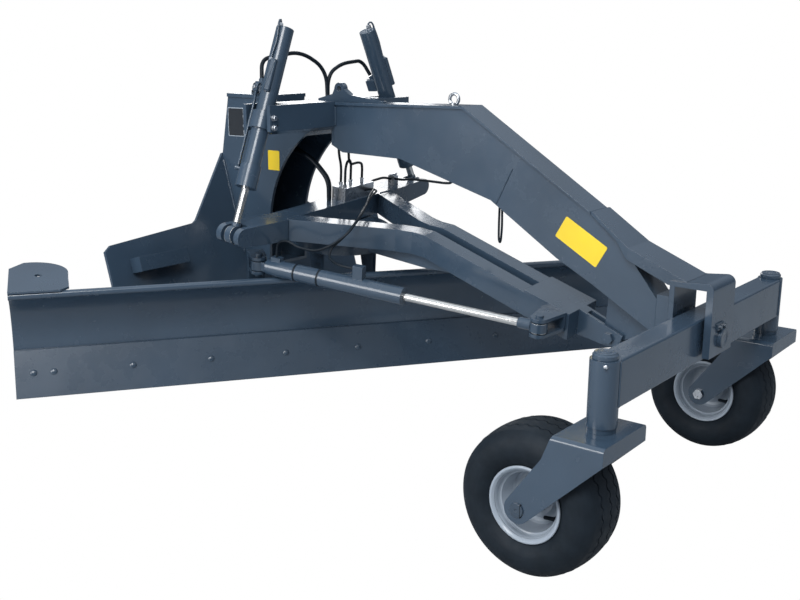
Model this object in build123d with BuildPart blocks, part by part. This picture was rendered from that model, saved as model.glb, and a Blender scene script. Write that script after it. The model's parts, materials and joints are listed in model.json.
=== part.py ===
"""Grader attachment for a wheel loader.

A gooseneck beam runs from the coupling plate at the back to a front axle on two
caster wheels. A Y-shaped drawbar hangs below the beam on a front pin and two
lift cylinders, and carries the angled blade, which one long cylinder turns.

Millimetres. X is the machine's left, Y its rear and Z up, with the origin on
the rear face of the coupling plate. Most profiles are drawn from the kingpin
line (behind it) and the floor (above it).
"""
import math
import os

from build123d import *

os.makedirs("parts", exist_ok=True)

# Overall layout
floor_z = -634.0
half_track = 649.0
coupling_lean = 16.3
coupling_setback = 56.0
deck_pitch = 5.8
deck_roll = 4.0
blade_angle = 34.4
fit = 0.3
plate = 12.0

# Wheels and casters
tyre_radius = 228.5
tyre_width = 216.0
tyre_shoulder = 30.0
bead_radius = 102.0
rim_width = 172.0
rim_wall = 8.0
flange_radius = 117.0
hub_radius = 38.0
hub_length = 196.0
wheel_pin_radius = 12.0
wheel_keeper = 3.0
wheel_keeper_radius = 21.0
caster_trail = 183.0
fork_width = 260.0
fork_top = 472.0
fork_front = -62.0
fork_back = 85.0
fork_foot_radius = 42.0
fork_lip = 51.0
fork_bend = 14.0
kingpin_radius = 22.0
thrust_radius = 40.0
thrust_height = 14.7

# Axle
axle_depth = 84.0
axle_bottom = 540.0
axle_top = 680.0
tube_radius = 43.0
tube_bottom = 487.0
cap_radius = 36.0
cap_height = 18.0
axle_corner = 8.0
pivot_radius = 22.0
pivot_height = 610.0

# Front bracket and nose
bracket_half = 90.0
bracket_wall = 17.0
bracket_front = -75.0
bracket_top = 798.0
bracket_foot = 557.0
bracket_gap = 10.0
bracket_slope = 10.0
bracket_corner = 26.0
housing_back = 125.0
housing_top = 728.0
strap_half = 80.0
strap_depth = 38.0
crest_y = 224.0
crest_z = 871.0

# Gooseneck: places of its corners behind the kingpins and above the floor
beam_half = 55.0
beam_lip = 7.0
cover = 10.0
beam_front = 125.0
beam_front_top = 713.0
beam_front_foot = 595.0
knee_y = 370.0
knee_z = 960.0
crest_inset = 102.0
crest_drop = 72.0
brow_y = 890.0
brow_z = 1276.0
belly_low_y = 355.0
belly_low_z = 726.0
belly_mid_y = 495.0
belly_mid_z = 798.0
belly_high_y = 765.0
belly_high_z = 968.0
belly_back_y = 1168.0
belly_back_z = 1082.0

# Neck and pylon, measured from the gooseneck's rear end
neck_front = 1500.0
neck_length = 290.0
neck_top = 1263.0
neck_top_back = 1256.0
neck_bottom = 1171.0
neck_foot = 1135.0
neck_wall = 12.0
heel_length = 55.0
heel_z = 1086.0
heel_top = 1112.0
lift_inset = 48.0
hose_run = 110.0
hose_bay_back = 1020.0
hose_bay_front = 905.0
hose_bay_roof = 1110.0
pylon_half = 110.0
pylon_depth = 220.0
pylon_top = 1276.0
pylon_shoulder = 1040.0
pylon_foot = 600.0
pylon_lip = 62.0
pylon_lip_z = 1163.0
pylon_waist = 225.0
pylon_waist_z = 996.0
pylon_toe = 286.0
pylon_toe_z = 792.0
pylon_lid = 14.0
pylon_lid_lip = 6.0
saddle_half = 12.0
saddle_ring_y = 1498.0
saddle_ring_z = 1322.0
saddle_ring = 24.0
saddle_eye = 10.0
saddle_front = 217.0
saddle_back = 107.0
saddle_foot = 1250.0
eye_bolt_y = 966.0
eye_bolt_ring = 19.0
eye_bolt_wire = 6.0

# Coupling: the seat plate's rear face is the loader's
seat_thickness = 8.0
coupling_thickness = 12.0
coupling_reach = 790.0
coupling_foot_half = 560.0
coupling_foot_z = 250.0
wing_top = 755.0
wing_tip = 735.0
wing_foot_z = 600.0
wing_cut = 30.0
wing_root = 328.0
wing_root_z = 795.0
wing_step = 17.0
wing_step_drop = 10.0
foot_step = 40.0
hook_depth = 70.0
foot_bar = 24.0
foot_slot = 70.0
foot_slot_place = 380.0
shelf_depth = 60.0
shelf_width = 236.0
shelf_height = 56.0
shelf_inset = 98.0
shelf_z = 668.0

# Lift cylinders
lift_top_x = 382.0
lift_top_z = 1216.0
lift_arm_end = 410.0
lift_arm_gap = 104.0
lift_arm_plate = 16.0
lift_arm_bottom = 1183.0
lift_arm_top = 1277.0
lift_box_end = 290.0
barrel_radius = 33.0
barrel_wall = 7.0
barrel_above = 355.0
barrel_below = 250.0
gland_radius = 39.0
gland_length = 84.0
trunnion_radius = 14.0
trunnion_side = 0.8
trunnion_rise = 7.0
collar_radius = 43.0
collar_length = 64.0
lift_rod_radius = 14.0
lift_rod_inside = 225.0
port_up = 130.0
port_block = 34.0
port_reach = 170.0
rod_eye_radius = 34.0
rod_eye_width = 30.0
clevis_gap = 64.0
clevis_pin = 12.0
pin_play = 10.5

# Drawbar, in its own frame: u across, v behind the hinge pin, w above it
hinge_y = 300.0
hinge_z = 547.0
arm_width = 70.0
arm_height = 84.0
arm_front_half = 95.0
arm_back_half = 310.0
arm_bend_v = 850.0
arm_fall_v = 735.0
nose_front_v = 130.0
nose_back_v = 301.0
deck_top = 209.0
nose_back_w = 105.0
nose_front_w = 64.0
nose_plate = 8.0
crossbar_front = 1215.0
crossbar_back = 1310.0
stub_half = 26.0
hinge_pin = 12.0
hinge_lug = 22.0
hinge_slot = 28.0
lift_eye_u = 536.0
lift_eye_v = 1260.0
lift_eye_w = 185.0

# Blade and its carrier, round the turning pin
turn_v = 1215.0
turn_pin = 40.0
turn_plate_radius = 200.0
turntable_depth = 59.0
belly_half = 75.0
belly_back = 1008.0
belly_front = 640.0
belly_drop = 47.0
turn_gap = 6.0
blade_length = 2500.0
blade_bottom = -390.0
blade_top = 9.0
blade_lead = 252.0
blade_bow = 92.0
blade_plate = 12.0
roll_radius = 13.0
edge_height = 150.0
edge_plate = 14.0
carrier_depth = 100.0
carrier_height = 110.0
carrier_half = 520.0
rib_place = 105.0
edge_gap = 14.0
mast_start = 0.0
mast_length = 205.0
mast_depth = 300.0
mast_hole = 13.0
mast_plate_thickness = 8.0

# Turning cylinder, level with the drawbar
swing_anchor_u = -197.0
swing_anchor_v = 173.0
swing_w = 42.0
swing_lug_u = -405.0
swing_lug_v = 1265.0
swing_radius = 32.0
swing_barrel_end = 610.0
swing_rod_radius = 14.0
swing_rod_inside = 60.0
swing_eye_radius = 30.0
swing_eye_height = 34.0
swing_fork_gap = 42.0
swing_pin = 14.0
swing_head = 24.0
swing_port = 28.0
swing_port_rear = 62.0
swing_port_front = 408.0
swing_port_length = 40.0
swing_port_low = 44.0
swing_port_high = 78.0

# Hoses and the valves they meet
lift_hose = 7.5
feed_hose = 8.0
loop_hose = 5.0
swing_hose = 4.5
hose_gap = 2.0
valve_left = 45.0
valve_right = 195.0
valve_front = 1222.0
valve_back = 1290.0
valve_height = 53.0
nipple = 14.0
tap_u = 392.0
tap_v = 1265.0
tap_width = 30.0
tap_height = 41.0
tap_grip = 44.0

# Places that follow from the sizes above
lift_top_y = neck_front + lift_inset
neck_back = neck_front + neck_length
bay_half = beam_half - neck_wall
bay_roof = neck_top - 1.5 * neck_wall
pylon_back = neck_back + pylon_depth
kingpin_y = coupling_setback - pylon_back


def side_plane(x):
    """Upright plane along the machine: behind the kingpins, above the floor."""
    return Plane(origin=(x, kingpin_y, floor_z), x_dir=(0, 1, 0), z_dir=(1, 0, 0))


def cross_plane(y):
    """Upright plane across the machine, looked at from the front."""
    return Plane(origin=(0, kingpin_y + y, floor_z), x_dir=(1, 0, 0), z_dir=(0, -1, 0))


def level_plane(z):
    """Level plane at a height above the floor."""
    return Plane(origin=(0, kingpin_y, floor_z + z))


def placed(x, y, z):
    """Point in the part's frame, from its place behind the kingpins and above the floor."""
    return Vector(x, kingpin_y + y, floor_z + z)


def axis_plane(start, end, across):
    """Plane at start that looks along a cylinder towards end."""
    return Plane(origin=start, x_dir=across, z_dir=end - start)


# The drawbar's frame leans back and to the near side
pitch = math.radians(deck_pitch)
roll = math.radians(deck_roll)
deck_v = Vector(0, math.cos(pitch), math.sin(pitch))
deck_up = Vector(0, -math.sin(pitch), math.cos(pitch))
deck_u = Vector(1, 0, 0) * math.cos(roll) + deck_up * math.sin(roll)
deck_w = deck_up * math.cos(roll) - Vector(1, 0, 0) * math.sin(roll)
deck = Plane(origin=placed(0, hinge_y, hinge_z), x_dir=deck_u, z_dir=deck_w)


def deck_level(w):
    """Plane level with the drawbar."""
    return deck.offset(w)


def deck_side(u):
    """Plane along the drawbar, with v and w as its own axes."""
    return Plane(origin=deck.from_local_coords((u, 0, 0)), x_dir=deck_v, z_dir=deck_u)


def deck_cross(v):
    """Plane across the drawbar, with u and w as its own axes."""
    return Plane(origin=deck.from_local_coords((0, v, 0)), x_dir=deck_u, z_dir=-deck_v)


# The blade's frame is turned about the turning pin
turn = math.radians(blade_angle)
blade_dir = deck_u * math.cos(turn) - deck_v * math.sin(turn)
blade_back = deck_u * math.sin(turn) + deck_v * math.cos(turn)
turn_point = deck.from_local_coords((0, turn_v, 0))


def blade_end(b):
    """Plane across the blade: behind the turning pin and above the hinge pin."""
    return Plane(origin=turn_point + blade_dir * b, x_dir=blade_back, z_dir=blade_dir)


def blade_level(w):
    """Plane level with the drawbar, along the blade."""
    return Plane(origin=turn_point + deck_w * w, x_dir=blade_dir, z_dir=deck_w)


# Front axle: one box with a kingpin tube at each end
with BuildPart() as axle_beam:
    with BuildSketch(side_plane(-half_track)):
        with Locations((0, (axle_bottom + axle_top) / 2)):
            RectangleRounded(axle_depth, axle_top - axle_bottom, axle_corner)
    extrude(amount=2 * half_track)
    with BuildSketch(level_plane(tube_bottom)):
        with Locations((-half_track, 0), (half_track, 0)):
            Circle(tube_radius)
    extrude(amount=axle_top - tube_bottom)
    with BuildSketch(level_plane(tube_bottom)):
        with Locations((-half_track, 0), (half_track, 0)):
            Circle(kingpin_radius + fit)
    extrude(amount=axle_top - tube_bottom, mode=Mode.SUBTRACT)
    with BuildSketch(cross_plane(axle_depth)):
        with Locations((0, pivot_height)):
            Circle(pivot_radius + fit)
    extrude(amount=2 * axle_depth, mode=Mode.SUBTRACT)
axle_beam.part.label = "axle_beam"
export_step(axle_beam.part, "parts/axle_beam.step")

# Casters and wheels: side name and its sign along X
for side, sign in (("l", 1), ("r", -1)):
    wheel_x = sign * half_track
    inner = fork_width / 2 - plate

    with BuildPart() as caster_fork:
        with BuildSketch(cross_plane(caster_trail + 2 * fork_foot_radius)) as fork_outside:
            with Locations((wheel_x, fork_top / 2)):
                Rectangle(fork_width, fork_top)
            fillet(fork_outside.vertices().group_by(Axis.Y)[-1], fork_bend)
        extrude(amount=caster_trail + 2 * fork_foot_radius - fork_front + plate)
        with BuildSketch(cross_plane(caster_trail + 2 * fork_foot_radius)) as fork_inside:
            with Locations((wheel_x, (fork_top - plate) / 2)):
                Rectangle(fork_width - 2 * plate, fork_top - plate)
            fillet(fork_inside.vertices().group_by(Axis.Y)[-1], fork_bend / 2)
        extrude(amount=caster_trail + 2 * fork_foot_radius - fork_front, mode=Mode.SUBTRACT)
        with BuildSketch(side_plane(wheel_x - fork_width / 2)):
            with BuildLine():
                foot = (caster_trail, tyre_radius)
                upper = (foot[0] + fork_foot_radius * 0.8, foot[1] + fork_foot_radius * 0.6)
                lower = (foot[0] - fork_foot_radius * 0.7, foot[1] - fork_foot_radius * 0.714)
                under = (foot[0] + fork_foot_radius * 0.6, foot[1] - fork_foot_radius * 0.8)
                back = (fork_back + 28, fork_top - 73)
                Polyline(lower, (fork_front - plate, fork_top - fork_lip),
                         (fork_front - plate, fork_top), (fork_back, fork_top), back, upper)
                ThreePointArc(upper, under, lower)
            make_face()
            with Locations(foot):
                Circle(wheel_pin_radius, mode=Mode.SUBTRACT)
        extrude(amount=fork_width, mode=Mode.INTERSECT)
    caster_fork.part.label = f"caster_fork_{side}"
    export_step(caster_fork.part, f"parts/caster_fork_{side}.step")

    with BuildPart() as kingpin:
        with BuildSketch(level_plane(fork_top)):
            with Locations((wheel_x, 0)):
                Circle(thrust_radius)
        extrude(amount=thrust_height)
        with BuildSketch(level_plane(fork_top + thrust_height)):
            with Locations((wheel_x, 0)):
                Circle(kingpin_radius)
        extrude(amount=axle_top - fork_top - thrust_height + fit)
        with BuildSketch(level_plane(axle_top + fit)):
            with Locations((wheel_x, 0)):
                Circle(cap_radius)
        extrude(amount=cap_height)
        chamfer(kingpin.edges().group_by(Axis.Z)[-1], cap_height / 3)
    kingpin.part.label = f"kingpin_{side}"
    export_step(kingpin.part, f"parts/kingpin_{side}.step")

    with BuildPart() as wheel_bolt:
        keeper_x = wheel_x + sign * (fork_width + wheel_keeper) / 2
        with BuildSketch(side_plane(keeper_x - wheel_keeper / 2)):
            with Locations((caster_trail, tyre_radius)):
                Circle(wheel_keeper_radius)
        extrude(amount=wheel_keeper)
        with BuildSketch(side_plane(wheel_x - fork_width / 2)):
            with Locations((caster_trail, tyre_radius)):
                Circle(wheel_pin_radius)
        extrude(amount=fork_width)
        nut_x = wheel_x - sign * (fork_width + plate) / 2
        with BuildSketch(side_plane(nut_x - plate / 2)):
            with Locations((caster_trail, tyre_radius)):
                RegularPolygon(1.6 * wheel_pin_radius, 6)
        extrude(amount=plate)
        for spacer_x in (wheel_x - inner, wheel_x + hub_length / 2 + fit):
            with BuildSketch(side_plane(spacer_x)):
                with Locations((caster_trail, tyre_radius)):
                    Circle(2 * wheel_pin_radius)
            extrude(amount=inner - hub_length / 2 - fit)
    wheel_bolt.part.label = f"wheel_bolt_{side}"
    export_step(wheel_bolt.part, f"parts/wheel_bolt_{side}.step")

    wheel_axis = Axis(placed(wheel_x, caster_trail, tyre_radius), (1, 0, 0))
    wheel_plane = Plane(origin=placed(wheel_x, caster_trail, tyre_radius), x_dir=(1, 0, 0), z_dir=(0, -1, 0))
    well_radius = bead_radius - rim_wall
    with BuildPart() as rim:
        with BuildSketch(wheel_plane):
            with BuildLine():
                Polyline((-hub_length / 2, wheel_pin_radius + fit), (-hub_length / 2, hub_radius),
                         (-rim_wall / 2, hub_radius), (-rim_wall / 2, well_radius),
                         (-rim_width / 2, well_radius), (-rim_width / 2 - rim_wall, flange_radius - rim_wall),
                         (-rim_width / 2 - rim_wall, flange_radius), (-rim_width / 2, flange_radius),
                         (-rim_width / 2, bead_radius), (rim_width / 2, bead_radius),
                         (rim_width / 2, flange_radius), (rim_width / 2 + rim_wall, flange_radius),
                         (rim_width / 2 + rim_wall, flange_radius - rim_wall), (rim_width / 2, well_radius),
                         (rim_wall / 2, well_radius), (rim_wall / 2, hub_radius),
                         (hub_length / 2, hub_radius), (hub_length / 2, wheel_pin_radius + fit),
                         close=True)
            make_face()
        revolve(axis=wheel_axis)
    rim.part.label = f"rim_{side}"
    export_step(rim.part, f"parts/rim_{side}.step")

    with BuildPart() as tyre:
        with BuildSketch(wheel_plane):
            with BuildLine():
                bead = (rim_width / 2, bead_radius)
                wall_low = (rim_width / 2, flange_radius + fit)
                bulge = (tyre_width / 2, (flange_radius + tyre_radius) / 2)
                shoulder = (tyre_width / 2 - tyre_shoulder, tyre_radius - tyre_shoulder / 3)
                Line((-bead[0], bead[1]), bead)
                Line(bead, wall_low)
                ThreePointArc(wall_low, bulge, shoulder)
                ThreePointArc(shoulder, (0, tyre_radius), (-shoulder[0], shoulder[1]))
                ThreePointArc((-shoulder[0], shoulder[1]), (-bulge[0], bulge[1]), (-wall_low[0], wall_low[1]))
                Line((-wall_low[0], wall_low[1]), (-bead[0], bead[1]))
            make_face()
        revolve(axis=wheel_axis)
    tyre.part.label = f"tyre_{side}"
    export_step(tyre.part, f"parts/tyre_{side}.step")

# Front bracket that straddles the axle, with the housing behind it
axle_back = axle_depth / 2
with BuildPart() as pivot_bracket:
    with BuildSketch(side_plane(-bracket_half)):
        with BuildLine():
            gap_y = axle_back + bracket_gap
            bracket_roof = bracket_top - bracket_slope - bracket_wall
            Polyline((bracket_front, bracket_foot), (bracket_front, bracket_top),
                     (bracket_wall, bracket_top - bracket_slope),
                     (gap_y + bracket_wall, bracket_top - bracket_slope),
                     (gap_y + bracket_wall, bracket_foot), (gap_y, bracket_foot),
                     (gap_y, bracket_roof), (-gap_y, bracket_roof),
                     (-gap_y, bracket_foot), close=True)
        make_face()
    extrude(amount=2 * bracket_half)
    front = pivot_bracket.edges().filter_by(Axis.X).group_by(Axis.Y)[0].sort_by(Axis.Z)
    fillet(front[-1], bracket_corner)
    with BuildSketch(side_plane(-beam_half)):
        with Locations(((gap_y + bracket_wall + housing_back) / 2, (bracket_foot + housing_top) / 2)):
            Rectangle(housing_back - gap_y - bracket_wall, housing_top - bracket_foot)
    extrude(amount=2 * beam_half)
    with BuildSketch(cross_plane(housing_back)):
        with Locations((0, pivot_height)):
            Circle(pivot_radius)
    extrude(amount=housing_back - bracket_front, mode=Mode.SUBTRACT)
pivot_bracket.part.label = "pivot_bracket"
export_step(pivot_bracket.part, "parts/pivot_bracket.step")

with BuildPart() as pivot_pin:
    with BuildSketch(cross_plane(housing_back)):
        with Locations((0, pivot_height)):
            Circle(pivot_radius)
    extrude(amount=housing_back - bracket_front)
    with BuildSketch(cross_plane(bracket_front)):
        with Locations((0, pivot_height)):
            Circle(1.5 * pivot_radius)
    extrude(amount=plate)
pivot_pin.part.label = "pivot_pin"
export_step(pivot_pin.part, "parts/pivot_pin.step")

# Gooseneck with its neck: a box that falls to the front bracket, open below where hoses enter
with BuildPart() as gooseneck:
    with BuildSketch(side_plane(-beam_half)):
        with BuildLine():
            Polyline((neck_front, neck_top), (brow_y, brow_z), (knee_y, knee_z),
                     (knee_y - crest_inset, knee_z - crest_drop), (beam_front, beam_front_top),
                     (beam_front, beam_front_foot), (belly_low_y, belly_low_z),
                     (belly_mid_y, belly_mid_z), (belly_high_y, belly_high_z),
                     (belly_back_y, belly_back_z), (neck_front - heel_length, heel_z),
                     (neck_front, heel_top), (neck_front, neck_bottom), (neck_back, neck_foot),
                     (neck_back, neck_top_back), close=True)
        make_face()
    extrude(amount=2 * beam_half)
    with BuildSketch(side_plane(-bay_half)):
        with BuildLine():
            bay_front = neck_front - 1.5 * heel_length
            Polyline((bay_front, heel_z - heel_length), (neck_back, heel_z - heel_length),
                     (neck_back, bay_roof), (bay_front, bay_roof), close=True)
        make_face()
        with BuildLine():
            Polyline((hose_bay_front, belly_high_z), (hose_bay_back, belly_high_z),
                     (hose_bay_back, hose_bay_roof), (hose_bay_front, hose_bay_roof), close=True)
        make_face()
    extrude(amount=2 * bay_half, mode=Mode.SUBTRACT)
gooseneck.part.label = "gooseneck"
export_step(gooseneck.part, "parts/gooseneck.step")

# Cover plate on the beam, a little wider than the box
cover_half = beam_half + beam_lip
cover_back = lift_top_y - lift_arm_gap / 2 - lift_arm_plate - 2 * fit
cover_end = neck_top + (brow_z - neck_top) * (neck_front - cover_back) / (neck_front - brow_y)
knee_lift = 6.0
with BuildPart() as beam_cover:
    with BuildSketch(side_plane(-cover_half)):
        with BuildLine():
            Polyline((cover_back, cover_end), (brow_y, brow_z), (knee_y, knee_z),
                     (knee_y + knee_lift, knee_z + cover), (brow_y - knee_lift / 2, brow_z + cover),
                     (cover_back, cover_end + cover), close=True)
        make_face()
    extrude(amount=2 * cover_half)
beam_cover.part.label = "beam_cover"
export_step(beam_cover.part, "parts/beam_cover.step")

# Nose: the top plate widens to a crest, then a hollow strap falls to the bracket
strap_low = (bracket_wall, bracket_top - bracket_slope)
crest = (crest_y, crest_z)
with BuildPart() as nose_strap:
    with BuildSketch(side_plane(-strap_half)):
        with BuildLine():
            Polyline((knee_y, knee_z), (knee_y + knee_lift, knee_z + cover),
                     (knee_y - knee_lift, knee_z + cover + 1), crest, strap_low,
                     (strap_low[0] + strap_depth / 3, strap_low[1] - strap_depth),
                     (crest_y + strap_depth / 10, crest_z - strap_depth),
                     (knee_y - crest_inset, knee_z - crest_drop), close=True)
        make_face()
    extrude(amount=2 * strap_half)
    with BuildSketch(level_plane(bracket_top - 2 * strap_depth)):
        with BuildLine():
            Polyline((-strap_half - 1, strap_low[0]), (strap_half + 1, strap_low[0]),
                     (strap_half, crest_y), (cover_half, knee_y), (-cover_half, knee_y),
                     (-strap_half, crest_y), close=True)
        make_face()
    extrude(amount=knee_z - bracket_top + 4 * strap_depth, mode=Mode.INTERSECT)
    with BuildSketch(level_plane(bracket_top - 2 * strap_depth)):
        with Locations((0, crest_y / 2)):
            Rectangle(2 * strap_half + plate, crest_y)
    extrude(amount=2 * strap_depth - bracket_wall - bracket_slope, mode=Mode.SUBTRACT)
    add(gooseneck.part, mode=Mode.SUBTRACT)
    add(pivot_bracket.part, mode=Mode.SUBTRACT)
nose_strap.part.label = "nose_strap"
export_step(nose_strap.part, "parts/nose_strap.step")

# Saddle plate with the rear lifting ring
ring = (saddle_ring_y, saddle_ring_z)
with BuildPart() as saddle:
    with BuildSketch(side_plane(-saddle_half)):
        with BuildLine():
            ring_back = (ring[0] + saddle_ring, ring[1])
            ring_front = (ring[0] - saddle_ring, ring[1])
            Polyline(ring_back, (ring_back[0] + cover, ring[1] - 2 * cover),
                     (ring[0] + saddle_back, ring[1] - 4 * cover), (ring[0] + saddle_back, saddle_foot),
                     (ring[0] - saddle_front, saddle_foot), (ring[0] - saddle_front, ring[1] - 4 * cover),
                     (ring_front[0] - 3 * cover, ring[1] - 2 * cover), ring_front)
            ThreePointArc(ring_front, (ring[0], ring[1] + saddle_ring), ring_back)
        make_face()
        with Locations(ring):
            Circle(saddle_eye, mode=Mode.SUBTRACT)
    extrude(amount=2 * saddle_half)
    for seat in (gooseneck, beam_cover):
        add(seat.part, mode=Mode.SUBTRACT)
saddle.part.label = "saddle"
export_step(saddle.part, "parts/saddle.step")

with BuildPart() as eye_bolt:
    ring_z = brow_z + cover + eye_bolt_ring
    with BuildSketch(Plane(origin=placed(0, eye_bolt_y, ring_z), x_dir=(0, 1, 0), z_dir=(0, 0, 1))):
        with Locations((eye_bolt_ring, 0)):
            Circle(eye_bolt_wire)
    revolve(axis=Axis(placed(0, eye_bolt_y, ring_z), (1, 0, 0)))
    with BuildSketch(level_plane(brow_z - cover)):
        with Locations((0, eye_bolt_y)):
            Circle(2.2 * eye_bolt_wire)
    extrude(amount=2 * cover + eye_bolt_wire)
    add(beam_cover.part, mode=Mode.SUBTRACT)
    add(gooseneck.part, mode=Mode.SUBTRACT)
eye_bolt.part.label = "eye_bolt"
export_step(eye_bolt.part, "parts/eye_bolt.step")

# Pylon on the coupling plate, with its curved front edge
lean = math.radians(coupling_lean)
face_offset = (seat_thickness + coupling_thickness) / math.cos(lean)


def coupling_front_y(z):
    """Front face of the leaning coupling plate, behind the kingpins."""
    return -kingpin_y - face_offset + (z + floor_z) * math.tan(lean)


with BuildPart() as pylon:
    with BuildSketch(side_plane(-pylon_half)):
        with BuildLine():
            toe = (neck_front + pylon_toe, pylon_toe_z)
            lip = (neck_front + pylon_lip, pylon_lip_z)
            Polyline(toe, (neck_back, pylon_foot), (coupling_front_y(pylon_foot), pylon_foot),
                     (coupling_front_y(pylon_shoulder), pylon_shoulder), (pylon_back, pylon_top),
                     (neck_back, pylon_top), (neck_back, neck_foot), lip)
            ThreePointArc(lip, (neck_front + pylon_waist, pylon_waist_z), toe)
        make_face()
    extrude(amount=2 * pylon_half)
    with BuildSketch(side_plane(-pylon_half + plate)):
        with BuildLine():
            back = plate / 2
            Polyline((neck_front, pylon_foot + plate),
                     (coupling_front_y(pylon_foot + plate) - back, pylon_foot + plate),
                     (coupling_front_y(pylon_shoulder) - back, pylon_shoulder),
                     (pylon_back - 2 * plate, pylon_top - plate),
                     (neck_back + plate, pylon_top - plate), (neck_back + plate, neck_foot - plate),
                     (neck_front, pylon_lip_z - plate), close=True)
        make_face()
    extrude(amount=2 * (pylon_half - plate), mode=Mode.SUBTRACT)
    with BuildSketch(side_plane(-bay_half)):
        with BuildLine():
            Polyline((neck_back - hose_run, neck_foot - 3 * plate),
                     (neck_back + plate, neck_foot - 3 * plate),
                     (neck_back + plate, bay_roof), (neck_back - hose_run, bay_roof), close=True)
        make_face()
    extrude(amount=2 * bay_half, mode=Mode.SUBTRACT)
    with BuildSketch(level_plane(pylon_top)):
        with Locations((0, neck_back + pylon_depth / 2)):
            Rectangle(2 * (pylon_half + pylon_lid_lip), pylon_depth)
    extrude(amount=pylon_lid)
pylon.part.label = "pylon"
export_step(pylon.part, "parts/pylon.step")

# Leaning coupling plate with its wings
coupling_plane = Plane(origin=(0, 0, 0), x_dir=(1, 0, 0), z_dir=(0, -math.cos(lean), math.sin(lean)))


def up_plate(z):
    """Distance up the leaning plate for a height above the floor."""
    return (z + floor_z) / math.cos(lean)


with BuildPart() as coupling_plate:
    with BuildSketch(coupling_plane.offset(seat_thickness)):
        with BuildLine():
            right = [(pylon_half, up_plate(pylon_shoulder)), (wing_root, up_plate(wing_root_z)),
                     (wing_root + wing_step, up_plate(wing_root_z - wing_step_drop)),
                     (coupling_reach - wing_cut, up_plate(wing_top)), (coupling_reach, up_plate(wing_tip)),
                     (coupling_reach, up_plate(wing_foot_z)),
                     (coupling_foot_half, up_plate(wing_foot_z - foot_step)),
                     (coupling_foot_half, up_plate(coupling_foot_z))]
            Polyline(right + [(-x, up) for x, up in reversed(right)], close=True)
        make_face()
    extrude(amount=coupling_thickness)
coupling_plate.part.label = "coupling_plate"
export_step(coupling_plate.part, "parts/coupling_plate.step")

# Seat plate behind it: flat between a hook lip above and a slotted foot bar
rear_plane = Plane(origin=(0, 0, 0), x_dir=(-1, 0, 0), z_dir=(0, math.cos(lean), -math.sin(lean)))
seat_low = up_plate(coupling_foot_z)
seat_high = up_plate(wing_tip)
with BuildPart() as seat_plate:
    with BuildSketch(coupling_plane):
        with Locations((0, (seat_low + seat_high) / 2)):
            Rectangle(2 * coupling_foot_half, seat_high - seat_low)
    extrude(amount=seat_thickness)
    with BuildSketch(rear_plane):
        with Locations((0, seat_high - plate / 2)):
            Rectangle(2 * coupling_foot_half, plate)
        with Locations((0, seat_low + foot_bar / 2)):
            Rectangle(2 * coupling_foot_half, foot_bar)
        slot_middle = seat_low + foot_bar / 2
        with Locations((-foot_slot_place, slot_middle), (foot_slot_place, slot_middle)):
            Rectangle(foot_slot, 2 * foot_bar, mode=Mode.SUBTRACT)
    extrude(amount=hook_depth)
seat_plate.part.label = "seat_plate"
export_step(seat_plate.part, "parts/seat_plate.step")

# Shelf on the near wing
with BuildPart() as wing_shelf:
    with BuildSketch(coupling_plane.offset(seat_thickness + coupling_thickness)):
        with Locations((-coupling_reach + shelf_inset + shelf_width / 2, up_plate(shelf_z))):
            Rectangle(shelf_width, shelf_height)
    extrude(amount=shelf_depth)
wing_shelf.part.label = "wing_shelf"
export_step(wing_shelf.part, "parts/wing_shelf.step")

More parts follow.
